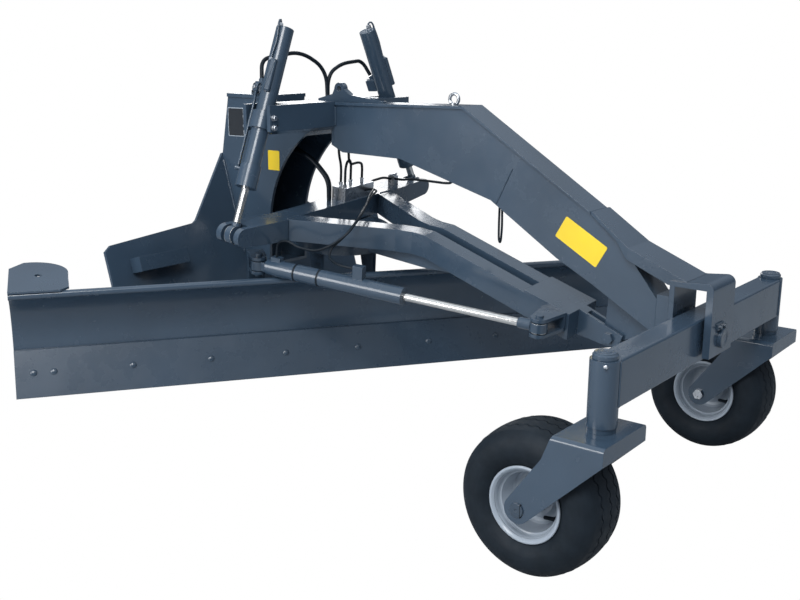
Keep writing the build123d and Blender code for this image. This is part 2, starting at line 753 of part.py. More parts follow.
# Lift cylinders, each in a fork of two plates on the neck
bore = barrel_radius - barrel_wall
across = Vector(0, 1, 0)
lift_ports = []
lift_port_ups = []
for side, sign in (("l", 1), ("r", -1)):
    lift_top = placed(sign * lift_top_x, lift_top_y, lift_top_z)
    lift_eye = deck.from_local_coords((sign * lift_eye_u, lift_eye_v, lift_eye_w))
    lift_eye = Vector(lift_eye.X, lift_eye.Y, lift_eye.Z)

    with BuildPart() as lift_bracket:
        for fork_y in (lift_top_y - lift_arm_gap / 2, lift_top_y + lift_arm_gap / 2 + lift_arm_plate):
            with BuildSketch(cross_plane(fork_y)):
                with Locations((sign * (beam_half + lift_arm_end) / 2, (lift_arm_bottom + lift_arm_top) / 2)):
                    Rectangle(lift_arm_end - beam_half, lift_arm_top - lift_arm_bottom)
                with Locations(Location((sign * lift_top_x, lift_top_z, 0), 90)):
                    SlotOverall(2 * (trunnion_radius + trunnion_rise), 2 * (trunnion_radius + trunnion_side),
                                mode=Mode.SUBTRACT)
            extrude(amount=lift_arm_plate)
        for skin_z in (lift_arm_bottom, lift_arm_top - plate):
            with BuildSketch(level_plane(skin_z)):
                with Locations((sign * (beam_half + lift_box_end) / 2, lift_top_y)):
                    Rectangle(lift_box_end - beam_half, lift_arm_gap)
            extrude(amount=plate)
    lift_bracket.part.label = f"lift_bracket_{side}"
    export_step(lift_bracket.part, f"parts/lift_bracket_{side}.step")

    reach = (lift_eye - lift_top).length
    down = axis_plane(lift_top, lift_eye, across)
    rear = (across - down.z_dir * across.dot(down.z_dir)).normalized()
    port_plane = Plane(origin=lift_top - down.z_dir * port_up, x_dir=down.z_dir, z_dir=rear)
    port_axis = rear * (barrel_radius + port_block / 2) - down.z_dir * (port_up + port_block / 2)
    port_axis = port_axis.normalized()
    lift_ports.append(lift_top + port_axis * (port_reach + hose_gap))
    lift_port_ups.append(port_axis)
    with BuildPart() as lift_barrel:
        with BuildSketch(down.offset(-barrel_above)):
            Circle(barrel_radius)
        extrude(amount=barrel_above + barrel_below)
        with BuildSketch(down.offset(-collar_length / 2)):
            Circle(collar_radius)
        extrude(amount=collar_length)
        with BuildSketch(down.offset(barrel_below - gland_length)):
            Circle(gland_radius)
        extrude(amount=gland_length)
        with BuildSketch(Plane(origin=lift_top - across * (lift_arm_gap / 2 + lift_arm_plate),
                               z_dir=across)):
            Circle(trunnion_radius)
        extrude(amount=lift_arm_gap + 2 * lift_arm_plate)
        with BuildSketch(port_plane):
            Rectangle(port_block, port_block)
        extrude(amount=barrel_radius + port_block)
        with BuildSketch(Plane(origin=lift_top + port_axis * port_up, z_dir=port_axis)):
            Circle(lift_hose + plate / 4)
        extrude(amount=port_reach - port_up)
        with BuildSketch(down.offset(-barrel_above + 2 * barrel_wall)):
            Circle(bore)
        extrude(amount=barrel_above + barrel_below - 2 * barrel_wall - gland_length, mode=Mode.SUBTRACT)
        with BuildSketch(down.offset(barrel_below - gland_length)):
            Circle(lift_rod_radius + fit)
        extrude(amount=gland_length, mode=Mode.SUBTRACT)
    lift_barrel.part.label = f"lift_barrel_{side}"
    export_step(lift_barrel.part, f"parts/lift_barrel_{side}.step")

    with BuildPart() as lift_rod:
        with BuildSketch(down.offset(barrel_below - lift_rod_inside)):
            Circle(lift_rod_radius)
        extrude(amount=reach - barrel_below + lift_rod_inside)
        with BuildSketch(Plane(origin=lift_eye - across * (rod_eye_width / 2), z_dir=across)):
            Circle(rod_eye_radius)
        extrude(amount=rod_eye_width)
    lift_rod.part.label = f"lift_rod_{side}"
    export_step(lift_rod.part, f"parts/lift_rod_{side}.step")

# Drawbar: cross bar with a clevis at each end
with BuildPart() as drawbar_crossbar:
    with BuildSketch(deck_cross(crossbar_back)):
        with Locations((0, deck_top - arm_height / 2)):
            Rectangle(2 * arm_back_half, arm_height)
    extrude(amount=crossbar_back - crossbar_front)
    tip = 2 * plate
    for sign in (1, -1):
        with BuildSketch(deck_cross(lift_eye_v + clevis_gap / 2 + tip)):
            with BuildLine():
                eye = (sign * lift_eye_u, lift_eye_w)
                top = (sign * lift_eye_u, lift_eye_w + rod_eye_radius)
                low = (sign * lift_eye_u, lift_eye_w - rod_eye_radius)
                out = (sign * (lift_eye_u + rod_eye_radius), lift_eye_w)
                Polyline(low, (sign * arm_back_half, deck_top - arm_height),
                         (sign * arm_back_half, deck_top), top)
                ThreePointArc(top, out, low)
            make_face()
        extrude(amount=clevis_gap + 2 * tip)
        with BuildSketch(deck_cross(lift_eye_v + clevis_gap / 2)):
            with Locations((sign * (lift_eye_u + 10), lift_eye_w)):
                Rectangle(2 * (rod_eye_radius + 20), 4 * rod_eye_radius)
        extrude(amount=clevis_gap, mode=Mode.SUBTRACT)
        for stub_v in (lift_eye_v + clevis_gap / 2, lift_eye_v - rod_eye_width / 2 - pin_play):
            with BuildSketch(deck_cross(stub_v)):
                with Locations((sign * lift_eye_u, lift_eye_w)):
                    Circle(clevis_pin)
            extrude(amount=(clevis_gap - rod_eye_width) / 2 - pin_play)
drawbar_crossbar.part.label = "drawbar_crossbar"
export_step(drawbar_crossbar.part, "parts/drawbar_crossbar.step")

# Drawbar arms: bent in plan and falling to the nose
for side, sign in (("l", 1), ("r", -1)):
    with BuildPart() as drawbar_arm:
        inner_front = arm_front_half - arm_width
        with BuildSketch(deck_level(nose_front_w - 2 * arm_height)):
            with BuildLine():
                Polyline((sign * arm_back_half, crossbar_front), (sign * (arm_front_half + 20), arm_bend_v),
                         (sign * arm_front_half, arm_bend_v - 60), (sign * arm_front_half, nose_front_v),
                         (sign * inner_front, nose_front_v), (sign * inner_front, arm_bend_v - 45),
                         (sign * (inner_front + 20), arm_bend_v + 15),
                         (sign * (arm_back_half - arm_width - 8), crossbar_front), close=True)
            make_face()
        extrude(amount=deck_top + 2 * arm_height)
        with BuildSketch(deck_side(-arm_back_half)):
            with BuildLine():
                top_line = [(crossbar_front, deck_top), (arm_fall_v, deck_top),
                            (nose_back_v, nose_back_w), (nose_front_v, nose_front_w)]
                Polyline(top_line + [(v, w - arm_height) for v, w in reversed(top_line)], close=True)
            make_face()
        extrude(amount=2 * arm_back_half, mode=Mode.INTERSECT)
    drawbar_arm.part.label = f"drawbar_arm_{side}"
    export_step(drawbar_arm.part, f"parts/drawbar_arm_{side}.step")

# Belly box under the arms, from the turntable to where the arms fall
with BuildPart() as drawbar_belly:
    with BuildSketch(deck_side(-belly_half)):
        with BuildLine():
            arm_low = deck_top - arm_height
            slope = (deck_top - nose_back_w) / (arm_fall_v - nose_back_v)
            front_w = arm_low - slope * (arm_fall_v - belly_front)
            Polyline((belly_back, arm_low), (arm_fall_v, arm_low), (belly_front, front_w),
                     (belly_front - belly_drop, front_w - slope * belly_drop),
                     (arm_fall_v, arm_low - belly_drop), (belly_back, arm_low - belly_drop), close=True)
        make_face()
    extrude(amount=2 * belly_half)
drawbar_belly.part.label = "drawbar_belly"
export_step(drawbar_belly.part, "parts/drawbar_belly.step")

# Drawbar nose: top plate over both arms, front plate and the forked stub
with BuildPart() as drawbar_nose:
    with BuildSketch(deck_side(-arm_front_half)):
        with BuildLine():
            Polyline((nose_back_v, nose_back_w), (nose_front_v, nose_front_w),
                     (nose_front_v, nose_front_w - arm_height),
                     (nose_front_v - plate, nose_front_w - arm_height),
                     (nose_front_v - plate, nose_front_w + nose_plate),
                     (nose_back_v, nose_back_w + nose_plate), close=True)
        make_face()
    extrude(amount=2 * arm_front_half)
    with BuildSketch(deck_side(-stub_half)):
        with BuildLine():
            Polyline((nose_front_v - plate, nose_front_w + nose_plate), (-50, 20), (-38, -22),
                     (0, -30), (nose_front_v - plate, nose_front_w - arm_height), close=True)
        make_face()
        Circle(hinge_pin, mode=Mode.SUBTRACT)
    extrude(amount=2 * stub_half)
    with BuildSketch(deck_side(-hinge_slot / 2)):
        with Locations(((nose_front_v - plate) / 2 - 2 * stub_half, 0)):
            Rectangle(nose_front_v - plate + 2 * stub_half, 2 * arm_height)
    extrude(amount=hinge_slot, mode=Mode.SUBTRACT)
drawbar_nose.part.label = "drawbar_nose"
export_step(drawbar_nose.part, "parts/drawbar_nose.step")

with BuildPart() as hinge_bolt:
    with BuildSketch(deck_side(-stub_half - plate)):
        RegularPolygon(1.7 * hinge_pin, 6)
    extrude(amount=plate)
    with BuildSketch(deck_side(-stub_half)):
        Circle(hinge_pin)
    extrude(amount=2 * stub_half)
    with BuildSketch(deck_side(stub_half)):
        RegularPolygon(1.7 * hinge_pin, 6)
    extrude(amount=plate)
hinge_bolt.part.label = "hinge_bolt"
export_step(hinge_bolt.part, "parts/hinge_bolt.step")

# Hanger lug under the gooseneck, which the stub's fork takes
with BuildPart() as hinge_hanger:
    with BuildSketch(deck_side(-hinge_lug / 2)):
        with BuildLine():
            Polyline((24, 0), (24, 165), (-60, 130), (-150, 100), (-150, 58), (-20, -13))
            ThreePointArc((-20, -13), (6, -23), (24, 0))
        make_face()
        Circle(hinge_pin + fit, mode=Mode.SUBTRACT)
    extrude(amount=hinge_lug)
    add(gooseneck.part, mode=Mode.SUBTRACT)
    add(pivot_bracket.part, mode=Mode.SUBTRACT)
hinge_hanger.part.label = "hinge_hanger"
export_step(hinge_hanger.part, "parts/hinge_hanger.step")

# Fork on the near arm for the turning cylinder's rod
anchor = (swing_anchor_u, swing_anchor_v)
with BuildPart() as swing_anchor:
    for low in (swing_w - swing_fork_gap / 2 - plate, swing_w + swing_fork_gap / 2):
        with BuildSketch(deck_level(low)):
            with BuildLine():
                foot_front = (-arm_front_half, swing_anchor_v - 45)
                foot_back = (-arm_front_half, swing_anchor_v + 50)
                round_front = (swing_anchor_u, swing_anchor_v - swing_eye_radius)
                round_back = (swing_anchor_u, swing_anchor_v + swing_eye_radius)
                Polyline(round_front, foot_front, foot_back, round_back)
                ThreePointArc(round_back, (swing_anchor_u - swing_eye_radius, swing_anchor_v), round_front)
            make_face()
        extrude(amount=plate)
    with BuildSketch(deck_level(swing_w - swing_fork_gap / 2)):
        with Locations((-arm_front_half - plate / 2, (foot_front[1] + foot_back[1]) / 2)):
            Rectangle(plate, foot_back[1] - foot_front[1])
    extrude(amount=swing_fork_gap)
    pin_gap = swing_eye_height / 2 + 2 * fit
    for low in (swing_w + pin_gap, swing_w - pin_gap - swing_head):
        with BuildSketch(deck_level(low)):
            with Locations(anchor):
                Circle(swing_pin)
        extrude(amount=swing_head)
swing_anchor.part.label = "swing_anchor"
export_step(swing_anchor.part, "parts/swing_anchor.step")

# Turning cylinder: the barrel's eye is on the blade, the rod's on the drawbar
anchor_point = deck.from_local_coords((swing_anchor_u, swing_anchor_v, swing_w))
lug_point = deck.from_local_coords((swing_lug_u, swing_lug_v, swing_w))
swing = axis_plane(lug_point, anchor_point, deck_w)
swing_reach = (anchor_point - lug_point).length
with BuildPart() as swing_barrel:
    with BuildSketch(Plane(origin=lug_point - deck_w * (swing_eye_height / 2), z_dir=deck_w)):
        Circle(swing_eye_radius)
    extrude(amount=swing_eye_height)
    with BuildSketch(swing):
        Rectangle(swing_eye_height, 1.2 * swing_radius)
    extrude(amount=1.8 * swing_radius)
    with BuildSketch(swing.offset(1.4 * swing_radius)):
        Circle(swing_radius)
    extrude(amount=swing_barrel_end - 1.4 * swing_radius)
    swing_top = Plane(origin=lug_point, x_dir=swing.z_dir, z_dir=deck_w)
    for port_start, port_top in ((swing_port_rear, swing_port_low), (swing_port_front, swing_port_high)):
        with BuildSketch(swing_top):
            with Locations((port_start + swing_port_length / 2, 0)):
                Rectangle(swing_port_length, swing_port)
        extrude(amount=port_top)
    with BuildSketch(swing.offset(2 * swing_radius)):
        Circle(swing_radius - barrel_wall)
    extrude(amount=swing_barrel_end - 2 * swing_radius - 40, mode=Mode.SUBTRACT)
    with BuildSketch(swing.offset(swing_barrel_end - 40)):
        Circle(swing_rod_radius + fit)
    extrude(amount=40, mode=Mode.SUBTRACT)
    with BuildSketch(Plane(origin=lug_point - deck_w * swing_eye_height, z_dir=deck_w)):
        Circle(swing_pin + fit)
    extrude(amount=2 * swing_eye_height, mode=Mode.SUBTRACT)
swing_barrel.part.label = "swing_barrel"
export_step(swing_barrel.part, "parts/swing_barrel.step")

with BuildPart() as swing_rod:
    with BuildSketch(swing.offset(swing_barrel_end - swing_rod_inside)):
        Circle(swing_rod_radius)
    extrude(amount=swing_reach - swing_barrel_end + swing_rod_inside)
    with BuildSketch(Plane(origin=anchor_point - deck_w * (swing_eye_height / 2), z_dir=deck_w)):
        Circle(swing_eye_radius)
    extrude(amount=swing_eye_height)
swing_rod.part.label = "swing_rod"
export_step(swing_rod.part, "parts/swing_rod.step")

# Turning pin under the cross bar
crossbar_bottom = deck_top - arm_height
plate_top = crossbar_bottom - turn_gap
with BuildPart() as turning_pin:
    with BuildSketch(deck_level(plate_top - turntable_depth)):
        with Locations((0, turn_v)):
            Circle(turn_pin)
    extrude(amount=turn_gap + turntable_depth)
turning_pin.part.label = "turning_pin"
export_step(turning_pin.part, "parts/turning_pin.step")

# Carrier: a turning plate, two ribs and a beam that seats on the blade's back
blade_low = blade_bottom + edge_gap
chord_half = (blade_top - roll_radius - blade_low) / 2
chord_mid = blade_low + chord_half
bow_radius = (chord_half ** 2 + blade_bow ** 2) / (2 * blade_bow)
bow_centre = (-blade_lead + blade_bow - bow_radius, chord_mid)
back_radius = bow_radius + blade_plate
beam_front = bow_centre[0] + bow_radius
beam_top = chord_mid + carrier_height / 2
beam_back = beam_front + blade_plate + carrier_depth
plate_low = plate_top - turntable_depth
with BuildPart() as blade_carrier:
    with BuildSketch(blade_end(-carrier_half)):
        with Locations(((beam_front + beam_back) / 2, chord_mid)):
            Rectangle(beam_back - beam_front, carrier_height)
        with Locations(bow_centre):
            Circle(back_radius, mode=Mode.SUBTRACT)
    extrude(amount=2 * carrier_half)
    for rib_b in (-rib_place - plate / 2, rib_place - plate / 2):
        with BuildSketch(blade_end(rib_b)):
            with BuildLine():
                Polyline((beam_front + blade_plate + plate, beam_top), (beam_back, beam_top - plate),
                         (turn_plate_radius / 2, plate_low),
                         (beam_front + blade_plate + plate, plate_low), close=True)
            make_face()
        extrude(amount=plate)
    with BuildSketch(blade_level(plate_low)):
        Circle(turn_plate_radius)
    extrude(amount=turntable_depth)
    with BuildSketch(blade_level(plate_low)):
        Circle(turn_pin + fit)
    extrude(amount=turntable_depth, mode=Mode.SUBTRACT)
blade_carrier.part.label = "blade_carrier"
export_step(blade_carrier.part, "parts/blade_carrier.step")

# Fork on the carrier for the turning cylinder's barrel
lug_b = (lug_point - turn_point).dot(blade_dir)
lug_back = (lug_point - turn_point).dot(blade_back)
lug_bottom = swing_w - swing_fork_gap / 2 - plate
lug_top = swing_w + swing_fork_gap / 2 + plate
post_front = lug_back + swing_radius + plate
post_depth = 3 * plate
with BuildPart() as swing_lug:
    for low in (lug_bottom, lug_top - plate):
        with BuildSketch(blade_level(low)):
            with BuildLine():
                right_side = (lug_b + swing_eye_radius, lug_back)
                left_side = (lug_b - swing_eye_radius, lug_back)
                Polyline(left_side, (lug_b - swing_eye_radius, post_front + post_depth),
                         (lug_b + swing_eye_radius, post_front + post_depth), right_side)
                ThreePointArc(right_side, (lug_b, lug_back - swing_eye_radius), left_side)
            make_face()
        extrude(amount=plate)
    with BuildSketch(blade_level(beam_top)):
        with Locations((lug_b, post_front + post_depth / 2)):
            Rectangle(2 * swing_eye_radius, post_depth)
    extrude(amount=lug_top - beam_top)
    with BuildSketch(blade_level(lug_bottom - plate)):
        with Locations((lug_b, lug_back)):
            Circle(swing_pin)
    extrude(amount=lug_top - lug_bottom + 2 * plate)
swing_lug.part.label = "swing_lug"
export_step(swing_lug.part, "parts/swing_lug.step")

# Mouldboard: a bowed sheet with a rolled top edge
with BuildPart() as mouldboard:
    with BuildSketch(blade_end(-blade_length / 2)):
        with Locations(bow_centre):
            Circle(back_radius)
            Circle(bow_radius, mode=Mode.SUBTRACT)
        with Locations((bow_centre[0] + back_radius, chord_mid)):
            Rectangle(2 * (blade_bow + blade_plate), 2 * chord_half, mode=Mode.INTERSECT)
        with Locations((-blade_lead, blade_top - roll_radius)):
            Circle(roll_radius)
    extrude(amount=blade_length)
mouldboard.part.label = "mouldboard"
export_step(mouldboard.part, "parts/mouldboard.step")

# Cutting edge: a flat bar in front of the mouldboard's foot
edge_top = blade_bottom + edge_height
edge_mid = (blade_low + edge_top) / 2


def face_b(w):
    """Front face of the mouldboard at a height."""
    return bow_centre[0] + math.sqrt(bow_radius ** 2 - (w - chord_mid) ** 2)


with BuildPart() as cutting_edge:
    with BuildSketch(blade_end(-blade_length / 2)):
        with BuildLine():
            ThreePointArc((-blade_lead, blade_low), (face_b(edge_mid), edge_mid),
                          (face_b(edge_top), edge_top))
            Polyline((face_b(edge_top), edge_top), (face_b(edge_top) - edge_plate, edge_top),
                     (-blade_lead - edge_plate, blade_bottom), (-blade_lead, blade_bottom),
                     (-blade_lead, blade_low))
        make_face()
    extrude(amount=blade_length)
cutting_edge.part.label = "cutting_edge"
export_step(cutting_edge.part, "parts/cutting_edge.step")

# Mast plate on the near end of the blade's top edge
with BuildPart() as mast_plate:
    with BuildSketch(blade_level(blade_top)):
        with BuildLine():
            near = mast_start - blade_length / 2
            far = near + mast_length
            Polyline((near, -blade_lead - roll_radius), (near, -blade_lead + mast_depth - 60),
                     (near + 50, -blade_lead + mast_depth))
            ThreePointArc((near + 50, -blade_lead + mast_depth), (far - 35, -blade_lead + mast_depth - 40),
                          (far, -blade_lead + mast_depth / 2))
            Polyline((far, -blade_lead + mast_depth / 2), (far, -blade_lead + roll_radius),
                     (far - 30, -blade_lead - roll_radius), (near, -blade_lead - roll_radius))
        make_face()
        with Locations((near + mast_length / 2, -blade_lead + mast_depth / 2)):
            Circle(mast_hole, mode=Mode.SUBTRACT)
    extrude(amount=mast_plate_thickness)
mast_plate.part.label = "mast_plate"
export_step(mast_plate.part, "parts/mast_plate.step")

# Valve block on the cross bar, with a nipple for each looped hose, and a tap near the far clevis
loop_taps = [(65, 1275), (45, 1236), (125, 1275), (180, 1262)]
with BuildPart() as valve_block:
    with BuildSketch(deck_level(deck_top)):
        with Locations(((valve_left + valve_right) / 2, (valve_front + valve_back) / 2)):
            Rectangle(valve_right - valve_left + 2 * nipple, valve_back - valve_front)
    extrude(amount=valve_height)
    with BuildSketch(deck_level(deck_top + valve_height)):
        with Locations(*loop_taps):
            RegularPolygon(1.6 * loop_hose, 6)
    extrude(amount=nipple)
valve_block.part.label = "valve_block"
export_step(valve_block.part, "parts/valve_block.step")

with BuildPart() as valve_tap:
    with BuildSketch(deck_level(deck_top)):
        with Locations((tap_u, tap_v)):
            Rectangle(tap_width, tap_width)
    extrude(amount=tap_height)
    with BuildSketch(deck_level(deck_top + tap_height)):
        with Locations((tap_u, tap_v)):
            Circle(tap_width / 4)
            Rectangle(tap_grip, tap_width / 4)
    extrude(amount=tap_width / 4)
    add(drawbar_crossbar.part, mode=Mode.SUBTRACT)
valve_tap.part.label = "valve_tap"
export_step(valve_tap.part, "parts/valve_tap.step")


def corner_radii(points):
    """Radius at each inner corner of a hose, as large as its two runs allow."""
    radii = []
    for before, corner, after in zip(points, points[1:], points[2:]):
        run = corner - before
        onward = after - corner
        half_turn = math.radians(run.get_angle(onward)) / 2
        radii.append(0.45 * min(run.length, onward.length) / math.tan(half_turn))
    return radii


def run_hose(points, radius):
    """Solid tube along a route of straight runs and tangent arcs."""
    radii = corner_radii(points)
    route = FilletPolyline(*points, radius=radii)
    section = Plane(origin=points[0], z_dir=points[1] - points[0]) * Circle(radius)
    print("hose radii", [round(r) for r in radii], "length", round(route.length))
    return sweep(section, path=route)


def deck_points(places):
    """Points given across, behind and above the drawbar's hinge pin."""
    return [deck.from_local_coords(Vector(place)) for place in places]


# Hoses on the beam: an arch from each lift cylinder to the neck, and a loop below the beam
far_port, near_port = lift_ports
far_up, near_up = lift_port_ups
arches = [
    [near_port, near_port + near_up * 80, placed(-90, 1622, 1462), placed(26, 1596, 1392),
     placed(26, 1590, neck_top - 2)],
    [far_port, far_port + far_up * 70, placed(150, 1624, 1412), placed(52, 1610, 1372),
     placed(45, 1606, neck_top - 2)],
]
belly_loop = [placed(-14, 742, 942), placed(-20, 736, 870), placed(-12, 745, 812), placed(22, 775, 812),
              placed(30, 781, 880), placed(24, 776, 961)]
beam_tubes = [run_hose(arch, lift_hose) for arch in arches]
beam_tubes.append(run_hose(belly_loop, loop_hose * 0.8))
with BuildPart() as beam_hoses:
    add(beam_tubes)
    add(gooseneck.part, mode=Mode.SUBTRACT)
beam_hoses.part.label = "beam_hoses"
export_step(beam_hoses.part, "parts/beam_hoses.step")

# Hoses on the drawbar: two feeds from the pylon, three loops, the tap's and the turning cylinder's
tap_top = deck_top + valve_height + nipple
drawbar_routes = [
    (feed_hose, [(50, 1588, 450), (46, 1560, 392), (40, 1400, 350), (26, 1300, 285), (24, 1297, deck_top)]),
    (feed_hose, [(11, 1582, 445), (8, 1550, 390), (2, 1385, 368), (-4, 1280, 292), (-4, 1276, deck_top)]),
    (loop_hose, [(65, 1275, tap_top), (65, 1275, 340), (32, 1262, 400), (30, 1262, 480)]),
    (loop_hose, [(45, 1236, tap_top), (45, 1236, 362), (125, 1275, 362), (125, 1275, tap_top)]),
    (loop_hose, [(180, 1262, tap_top), (180, 1262, 332), (112, 1225, 358), (38, 1212, 360), (33, 1213, 425),
                 (31, 1216, 485)]),
    (loop_hose, [(209, 1262, 238), (250, 1264, 250), (330, 1268, 250), (377, 1266, 236)]),
    (loop_hose, [(392, 1250, 236), (375, 1200, 245), (322, 1122, 272), (222, 960, 313), (125, 810, 350),
                 (66, 742, 374), (41, 704, 412), (42, 686, 468)]),
    (swing_hose, [(180, 1222, 236), (165, 1165, 245), (70, 1122, 243), (-80, 1032, 244), (-190, 970, 238),
                  (-258, 962, 196), (-292, 1006, 142), (-318, 996, 112), (-341, 938, 106), (-328, 866, 104)]),
    (swing_hose, [(155, 1222, 236), (140, 1160, 258), (55, 1112, 262), (-88, 1016, 258), (-200, 955, 246),
                  (-272, 950, 200), (-304, 1002, 152), (-330, 1050, 126), (-372, 1105, 140),
                  (-380, 1140, 158), (-390, 1184, 146), (-391, 1186, 88)]),
]
drawbar_tubes = [run_hose(deck_points(places), hose_radius) for hose_radius, places in drawbar_routes]
with BuildPart() as drawbar_hoses:
    add(drawbar_tubes)
    add([drawbar_crossbar.part, valve_block.part, valve_tap.part], mode=Mode.SUBTRACT)
drawbar_hoses.part.label = "drawbar_hoses"
export_step(drawbar_hoses.part, "parts/drawbar_hoses.step")
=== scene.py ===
"""Looks of a loader-mounted grader attachment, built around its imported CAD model."""

import json
import math

import bmesh
import bpy
from bpy.props import FloatProperty, FloatVectorProperty, PointerProperty
from mathutils import Matrix, Vector


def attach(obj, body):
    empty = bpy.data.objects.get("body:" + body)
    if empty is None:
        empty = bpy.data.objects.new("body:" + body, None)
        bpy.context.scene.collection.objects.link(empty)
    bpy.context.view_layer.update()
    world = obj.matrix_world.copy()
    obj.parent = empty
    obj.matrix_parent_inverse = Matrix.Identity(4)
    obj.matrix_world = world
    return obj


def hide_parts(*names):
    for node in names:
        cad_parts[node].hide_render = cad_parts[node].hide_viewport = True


bl_info = {
    "name": "Grader attachment looks",
    "version": (1, 0, 0),
    "blender": (4, 5, 0),
    "location": "View3D > Sidebar > Grader",
    "description": "Paint, tyres, bolts, hoses, plates and stage of a grader attachment",
    "category": "Object",
}

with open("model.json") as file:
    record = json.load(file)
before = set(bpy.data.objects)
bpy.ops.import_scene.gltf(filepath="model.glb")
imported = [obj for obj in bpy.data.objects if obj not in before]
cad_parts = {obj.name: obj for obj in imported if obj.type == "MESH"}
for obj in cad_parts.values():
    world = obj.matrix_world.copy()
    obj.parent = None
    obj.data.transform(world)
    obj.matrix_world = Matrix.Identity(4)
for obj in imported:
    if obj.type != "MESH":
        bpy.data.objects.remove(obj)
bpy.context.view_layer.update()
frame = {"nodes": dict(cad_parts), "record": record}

# Places in metres: the kingpin line and the floor in the frame of the coupling plate
KINGPIN_Y = -1.954
FLOOR_Z = -0.634
SIDES = (("l", 1.0), ("r", -1.0))


def placed(x, y, z):
    """Point behind the kingpin line and above the floor, in the frame of the model."""
    return Vector((x, KINGPIN_Y + y, FLOOR_Z + z))


# Finishes

def new_finish(name):
    """Empty material with its node tree and main shader."""
    finish = bpy.data.materials.new(name)
    finish.use_nodes = True
    tree = finish.node_tree
    shader = tree.nodes["Principled BSDF"]
    return finish, tree, shader


def texture_space(tree, scale):
    """Object coordinates, scaled evenly."""
    coords = tree.nodes.new("ShaderNodeTexCoord")
    mapping = tree.nodes.new("ShaderNodeMapping")
    mapping.inputs["Scale"].default_value = (scale, scale, scale)
    tree.links.new(coords.outputs["Object"], mapping.inputs["Vector"])
    return mapping.outputs["Vector"]


def noise(tree, vector, scale, detail=3.0, roughness=0.5):
    """Noise texture on a coordinate socket."""
    node = tree.nodes.new("ShaderNodeTexNoise")
    node.inputs["Scale"].default_value = scale
    node.inputs["Detail"].default_value = detail
    node.inputs["Roughness"].default_value = roughness
    tree.links.new(vector, node.inputs["Vector"])
    return node.outputs["Fac"]


def ramp(tree, value, stops):
    """Colour ramp with (position, colour) stops."""
    node = tree.nodes.new("ShaderNodeValToRGB")
    while len(node.color_ramp.elements) < len(stops):
        node.color_ramp.elements.new(0.5)
    for element, (position, colour) in zip(node.color_ramp.elements, stops):
        element.position = position
        element.color = (*colour, 1.0)
    tree.links.new(value, node.inputs["Fac"])
    return node.outputs["Color"]


def bump(tree, shader, height, strength, distance):
    """Bump from a height socket into the shader's normal."""
    node = tree.nodes.new("ShaderNodeBump")
    node.inputs["Strength"].default_value = strength
    node.inputs["Distance"].default_value = distance
    tree.links.new(height, node.inputs["Height"])
    tree.links.new(node.outputs["Normal"], shader.inputs["Normal"])
    return node


def soft_edges(tree, bump_node, radius):
    """Rounded edges under the bump, as on ground and painted plate."""
    node = tree.nodes.new("ShaderNodeBevel")
    node.samples = 4
    node.inputs["Radius"].default_value = radius
    tree.links.new(node.outputs["Normal"], bump_node.inputs["Normal"])


def paint_finish(name, colour, roughness, edge=0.0025):
    """Glossy machine paint: faint tone changes, orange peel and softened edges."""
    finish, tree, shader = new_finish(name)
    space = texture_space(tree, 1.0)
    dark = tuple(c * 0.86 for c in colour)
    light = tuple(min(1.0, c * 1.1) for c in colour)
    clouds = noise(tree, space, 3.0, 4.0)
    tone = ramp(tree, clouds, [(0.3, dark), (0.7, light)])
    tree.links.new(tone, shader.inputs["Base Color"])
    dust = noise(tree, space, 9.0, 6.0, 0.6)
    dull = ramp(tree, dust, [(0.35, (roughness,) * 3), (0.75, (roughness + 0.12,) * 3)])
    tree.links.new(dull, shader.inputs["Roughness"])
    shader.inputs["Coat Weight"].default_value = 0.3
    shader.inputs["Coat Roughness"].default_value = 0.1
    peel = noise(tree, space, 260.0, 2.0)
    skin = bump(tree, shader, peel, 0.12, 0.0004)
    soft_edges(tree, skin, edge)
    return finish


def metal_finish(name, colour, roughness, streak=60.0):
    """Bare or plated metal with fine machining marks."""
    finish, tree, shader = new_finish(name)
    space = texture_space(tree, 1.0)
    dark = tuple(c * 0.85 for c in colour)
    streaks = noise(tree, space, streak, 3.0)
    tone = ramp(tree, streaks, [(0.3, dark), (0.7, colour)])
    tree.links.new(tone, shader.inputs["Base Color"])
    shader.inputs["Metallic"].default_value = 1.0
    wear = noise(tree, space, 2.0 * streak, 4.0)
    dull = ramp(tree, wear, [(0.3, (roughness * 0.8,) * 3), (0.7, (roughness * 1.3,) * 3)])
    tree.links.new(dull, shader.inputs["Roughness"])
    marks = noise(tree, space, 10.0 * streak, 2.0)
    skin = bump(tree, shader, marks, 0.08, 0.0002)
    soft_edges(tree, skin, 0.001)
    return finish


def rubber_finish(name, colour, roughness):
    """Black rubber, slightly grey where dust stays."""
    finish, tree, shader = new_finish(name)
    space = texture_space(tree, 1.0)
    dusty = tuple(c * 1.5 + 0.002 for c in colour)
    dust = noise(tree, space, 14.0, 5.0, 0.6)
    tone = ramp(tree, dust, [(0.35, colour), (0.75, dusty)])
    tree.links.new(tone, shader.inputs["Base Color"])
    scuffs = noise(tree, space, 30.0, 4.0)
    dull = ramp(tree, scuffs, [(0.3, (roughness - 0.08,) * 3), (0.7, (roughness + 0.1,) * 3)])
    tree.links.new(dull, shader.inputs["Roughness"])
    shader.inputs["Specular IOR Level"].default_value = 0.22
    grain = noise(tree, space, 420.0, 3.0)
    bump(tree, shader, grain, 0.25, 0.0006)
    return finish


